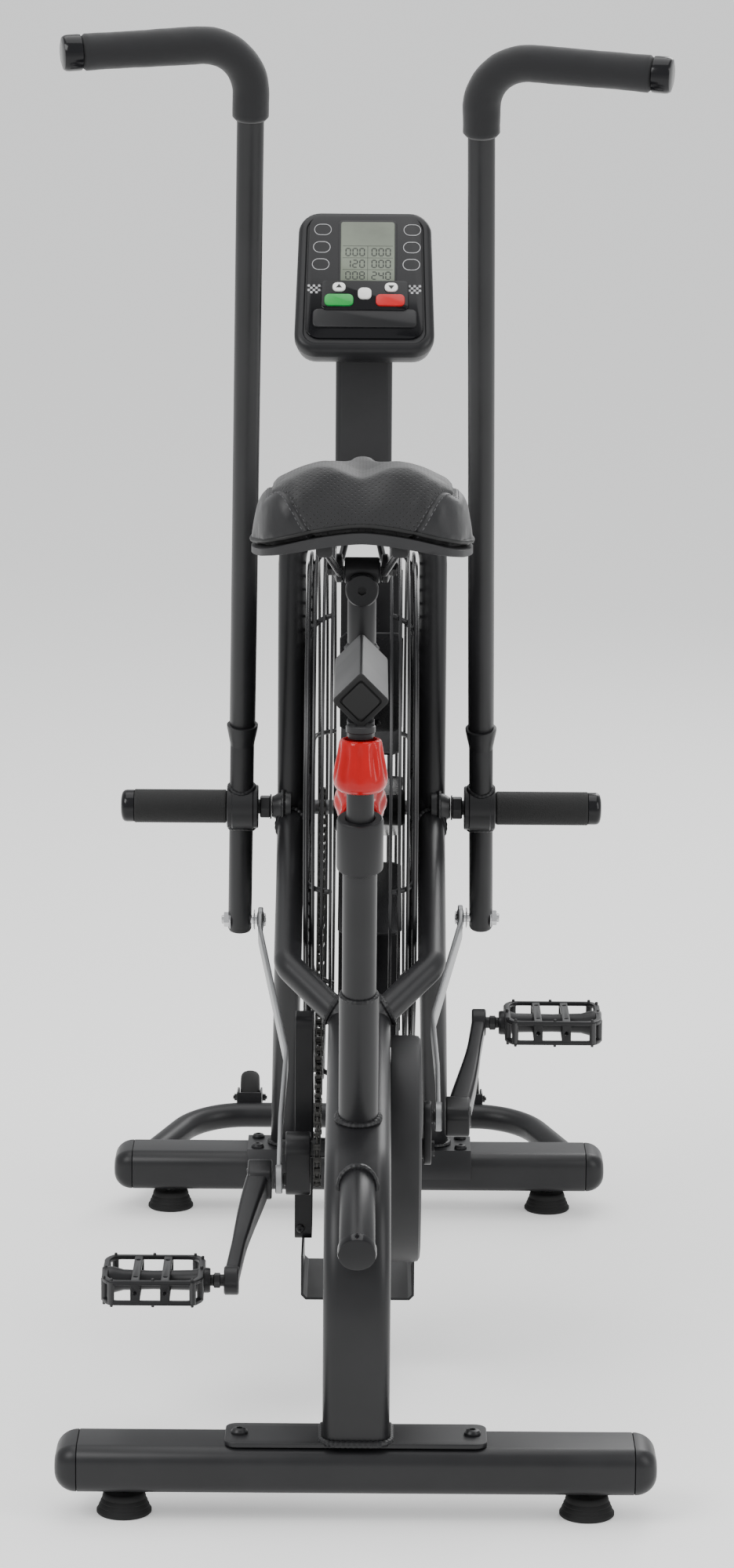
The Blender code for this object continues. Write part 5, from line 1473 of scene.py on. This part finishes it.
def inside_panel(point):
    """Whether a point of the pad belongs to the perforated panel."""
    back = point.y - REAR_Y
    if back < BEND:
        rise = math.atan2(point.z - BEND_HEIGHT, BEND - back) / (math.pi / 2)
        return abs(point.x) < tail_edge(rise) and point.z > BEND_HEIGHT
    share = (back - TAIL) / LENGTH
    return abs(point.x) < top_edge(share) and share < 0.945 and point.z > underside(share, point.x) + 0.012


def saddle():
    made = piece("saddle_pad", saddle_form(), "vinyl", "saddle", "saddle_cushion", sharp=80)
    fill_out(made, 0.006)
    mesh = made.data
    tree = BVHTree.FromObject(made, bpy.context.evaluated_depsgraph_get())
    points = coordinates(made)
    normals = np.array([v.normal[:] for v in mesh.vertices])
    nearest = np.full(len(points), 1.0)
    for guide in seam_guides(tree):
        for spot, _, _ in even(guide, 0.0015):
            nearest = np.minimum(nearest, np.linalg.norm(points - np.array(spot), axis=1))
    groove = 0.0024 * np.exp(-((nearest / 0.0022) ** 2))
    puff = 0.001 * np.exp(-(((nearest - 0.011) / 0.006) ** 2))
    points += normals * (puff - groove)[:, None]
    wander = np.array([noise.noise(Vector(p) * 38) for p in points])
    points += normals * (wander * 0.0006)[:, None]
    mesh.vertices.foreach_set("co", points.ravel())
    mesh.update()
    mesh.shade_smooth()
    mesh.materials.clear()
    mesh.materials.append(LOOKS["vinyl"])
    mesh.materials.append(LOOKS["mesh"])
    for face in mesh.polygons:
        face.material_index = 1 if inside_panel(face.center) else 0
    tree = BVHTree.FromObject(made, bpy.context.evaluated_depsgraph_get())
    for (name, _), path in zip(SIDES, seam_guides(tree)):
        for row, aside in (("inner", -0.0042), ("outer", 0.0042)):
            piece(f"saddle_stitch_{name}_{row}", stitches(tree, path, aside), "thread", "saddle")
    piping(tree)
    pan()
    rails()


def piping(tree):
    """The welt that closes the cover round its lower edge, each point refined as its height becomes known."""
    loop = []
    for step in range(140):
        angle = math.tau * step / 140
        direction = Vector((math.cos(angle), math.sin(angle) * 1.25, 0)).normalized()
        start = place(0, TAIL + 0.45 * LENGTH, 0.9) + direction * 0.4
        hit = None
        for _ in range(3):
            x = abs(hit.x) if hit else abs(direction.x) * WIDEST
            share = min(max((hit.y - REAR_Y - TAIL) / LENGTH, 0), 1) if hit else 0.5
            found = tree.ray_cast(Vector((start.x, start.y, underside(share, x) + 0.0062)), -direction)
            hit = found[0] or hit
        if hit:
            loop.append(hit)
    piece("saddle_piping", sweep(loop, circle(0.0021, 12), up=Z, closed=True), "piping", "saddle", sharp=60)


def pan():
    """The hard shell under the pad, with a rolled rim."""
    steps, inset = 24, 0.0035
    rings = []
    for share in crowded(36):
        soft = end_round(share, 0.02, 0.016)
        wide = (half_width(share) - inset) * (0.86 + 0.14 * soft)
        y = TAIL + inset + (LENGTH - 2 * inset) * share
        xs = [wide * (2 * step / steps - 1) for step in range(steps + 1)]
        lower = [place(x, y, underside(share, x) - 0.0105 + 0.004 * (abs(x) / wide) ** 8) for x in xs]
        rings.append(lower + [place(x, y, underside(share, x) - 0.0002) for x in reversed(xs)])
    piece("saddle_shell", skin(rings), "grey", "saddle", "saddle_pan", sharp=50)


def rails():
    """Two wires under the pan, the sockets that hold their ends, and the serrated clamp jaws."""
    rear_x, rail_x, front_x, socket_height = 0.036, 0.0215, 0.012, 0.9005
    wires, sockets = [], []
    for side in (-1, 1):
        points = [place(side * rear_x, 0.178, 0.899), place(side * rail_x, 0.262, 0.864),
                  place(side * rail_x, 0.338, 0.864), place(side * front_x, 0.385, 0.899)]
        wires.append(tube(bent(points, 0.02, 8), 0.0035, 16))
    piece("saddle_wires", together(*wires), "wire", "saddle", "saddle_rails")
    for x, rear, front, width in ((-rear_x, 0.168, 0.192, 0.016), (rear_x, 0.168, 0.192, 0.016),
                                  (0, 0.376, 0.396, 0.034)):
        path = [place(x, y, socket_height) for y in (rear, front)]
        sockets.append(sweep(path, rounded(width, 0.015, 0.004, 5), up=X, edge=0.0015))
    piece("rail_sockets", together(*sockets), "grey", "saddle")
    jaw = [(0, 19), (12.8, 19), (14.2, 20), (14.2, 24.8), (13.2, 25.8)]
    jaw += [(12.2 - ring * 1.8, 26.2 + ring * 0.6, 0.06) for ring in range(3)]
    jaw += [(8, 28.4), (7.8, 30, 6), (7.8, 33.6, 6), (6.6, 34.2), (0, 34.3)]
    for name, side in SIDES:
        piece(f"clamp_jaw_{name}", turned(jaw, place(0, RISER_Y, 0.864), X * side, 60), "forged",
              "saddle", sharp=30)


saddle()


# Floor, lights and camera


def add_object(name, data):
    made = bpy.data.objects.new(name, data)
    bpy.context.scene.collection.objects.link(made)
    return made


def floor():
    mesh = bpy.data.meshes.new("floor")
    reach = 400.0
    mesh.from_pydata(flat([(-reach, -reach), (reach, -reach), (reach, reach), (-reach, reach)], 0), [],
                     [(0, 1, 2, 3)])
    finish = bpy.data.materials.new("pale_floor")
    finish.use_nodes = True
    fill(finish.node_tree.nodes["Principled BSDF"], Base_Color=(0.88, 0.88, 0.87, 1), Roughness=0.7,
         Emission_Color=(1, 1, 1, 1), Emission_Strength=0.35)
    mesh.materials.append(finish)
    add_object("floor", mesh)


def light(name, at, aim, size, power):
    lamp = bpy.data.lights.new(name, "AREA")
    lamp.shape = "RECTANGLE"
    lamp.size, lamp.size_y = size
    lamp.energy = power
    made = add_object(name, lamp)
    made.location = at
    made.rotation_euler = (Vector(aim) - Vector(at)).to_track_quat("-Z", "Y").to_euler()


def stage():
    floor()
    light("key_softbox", (-2.6, -2.4, 3.4), (0, 0, 0.7), (2.4, 2.0), 110)
    light("fill_softbox", (3.0, -1.8, 2.2), (0, 0, 0.7), (1.6, 2.6), 50)
    light("overhead", (0.0, 0.4, 3.6), (0, 0, 0.5), (3.0, 3.0), 60)
    light("front_strip", (1.4, 3.2, 2.6), (0, 0, 0.8), (1.2, 2.4), 40)
    world = bpy.data.worlds.new("studio")
    world.use_nodes = True
    fill(world.node_tree.nodes["Background"], Color=(0.93, 0.94, 0.95, 1), Strength=0.85)
    bpy.context.scene.world = world
    data = bpy.data.cameras.new("camera")
    data.sensor_fit = "VERTICAL"
    data.sensor_height = 36.0
    data.lens = 106.5
    pitch, roll = math.radians(11.0), math.radians(0.4)
    camera = add_object("camera", data)
    camera.matrix_world = (Matrix.Translation(place(0.0062, -4.201, 1.5235))
                           @ Matrix.Rotation(math.pi / 2 - pitch, 4, "X") @ Matrix.Rotation(roll, 4, "Z"))
    bpy.context.scene.camera = camera


stage()
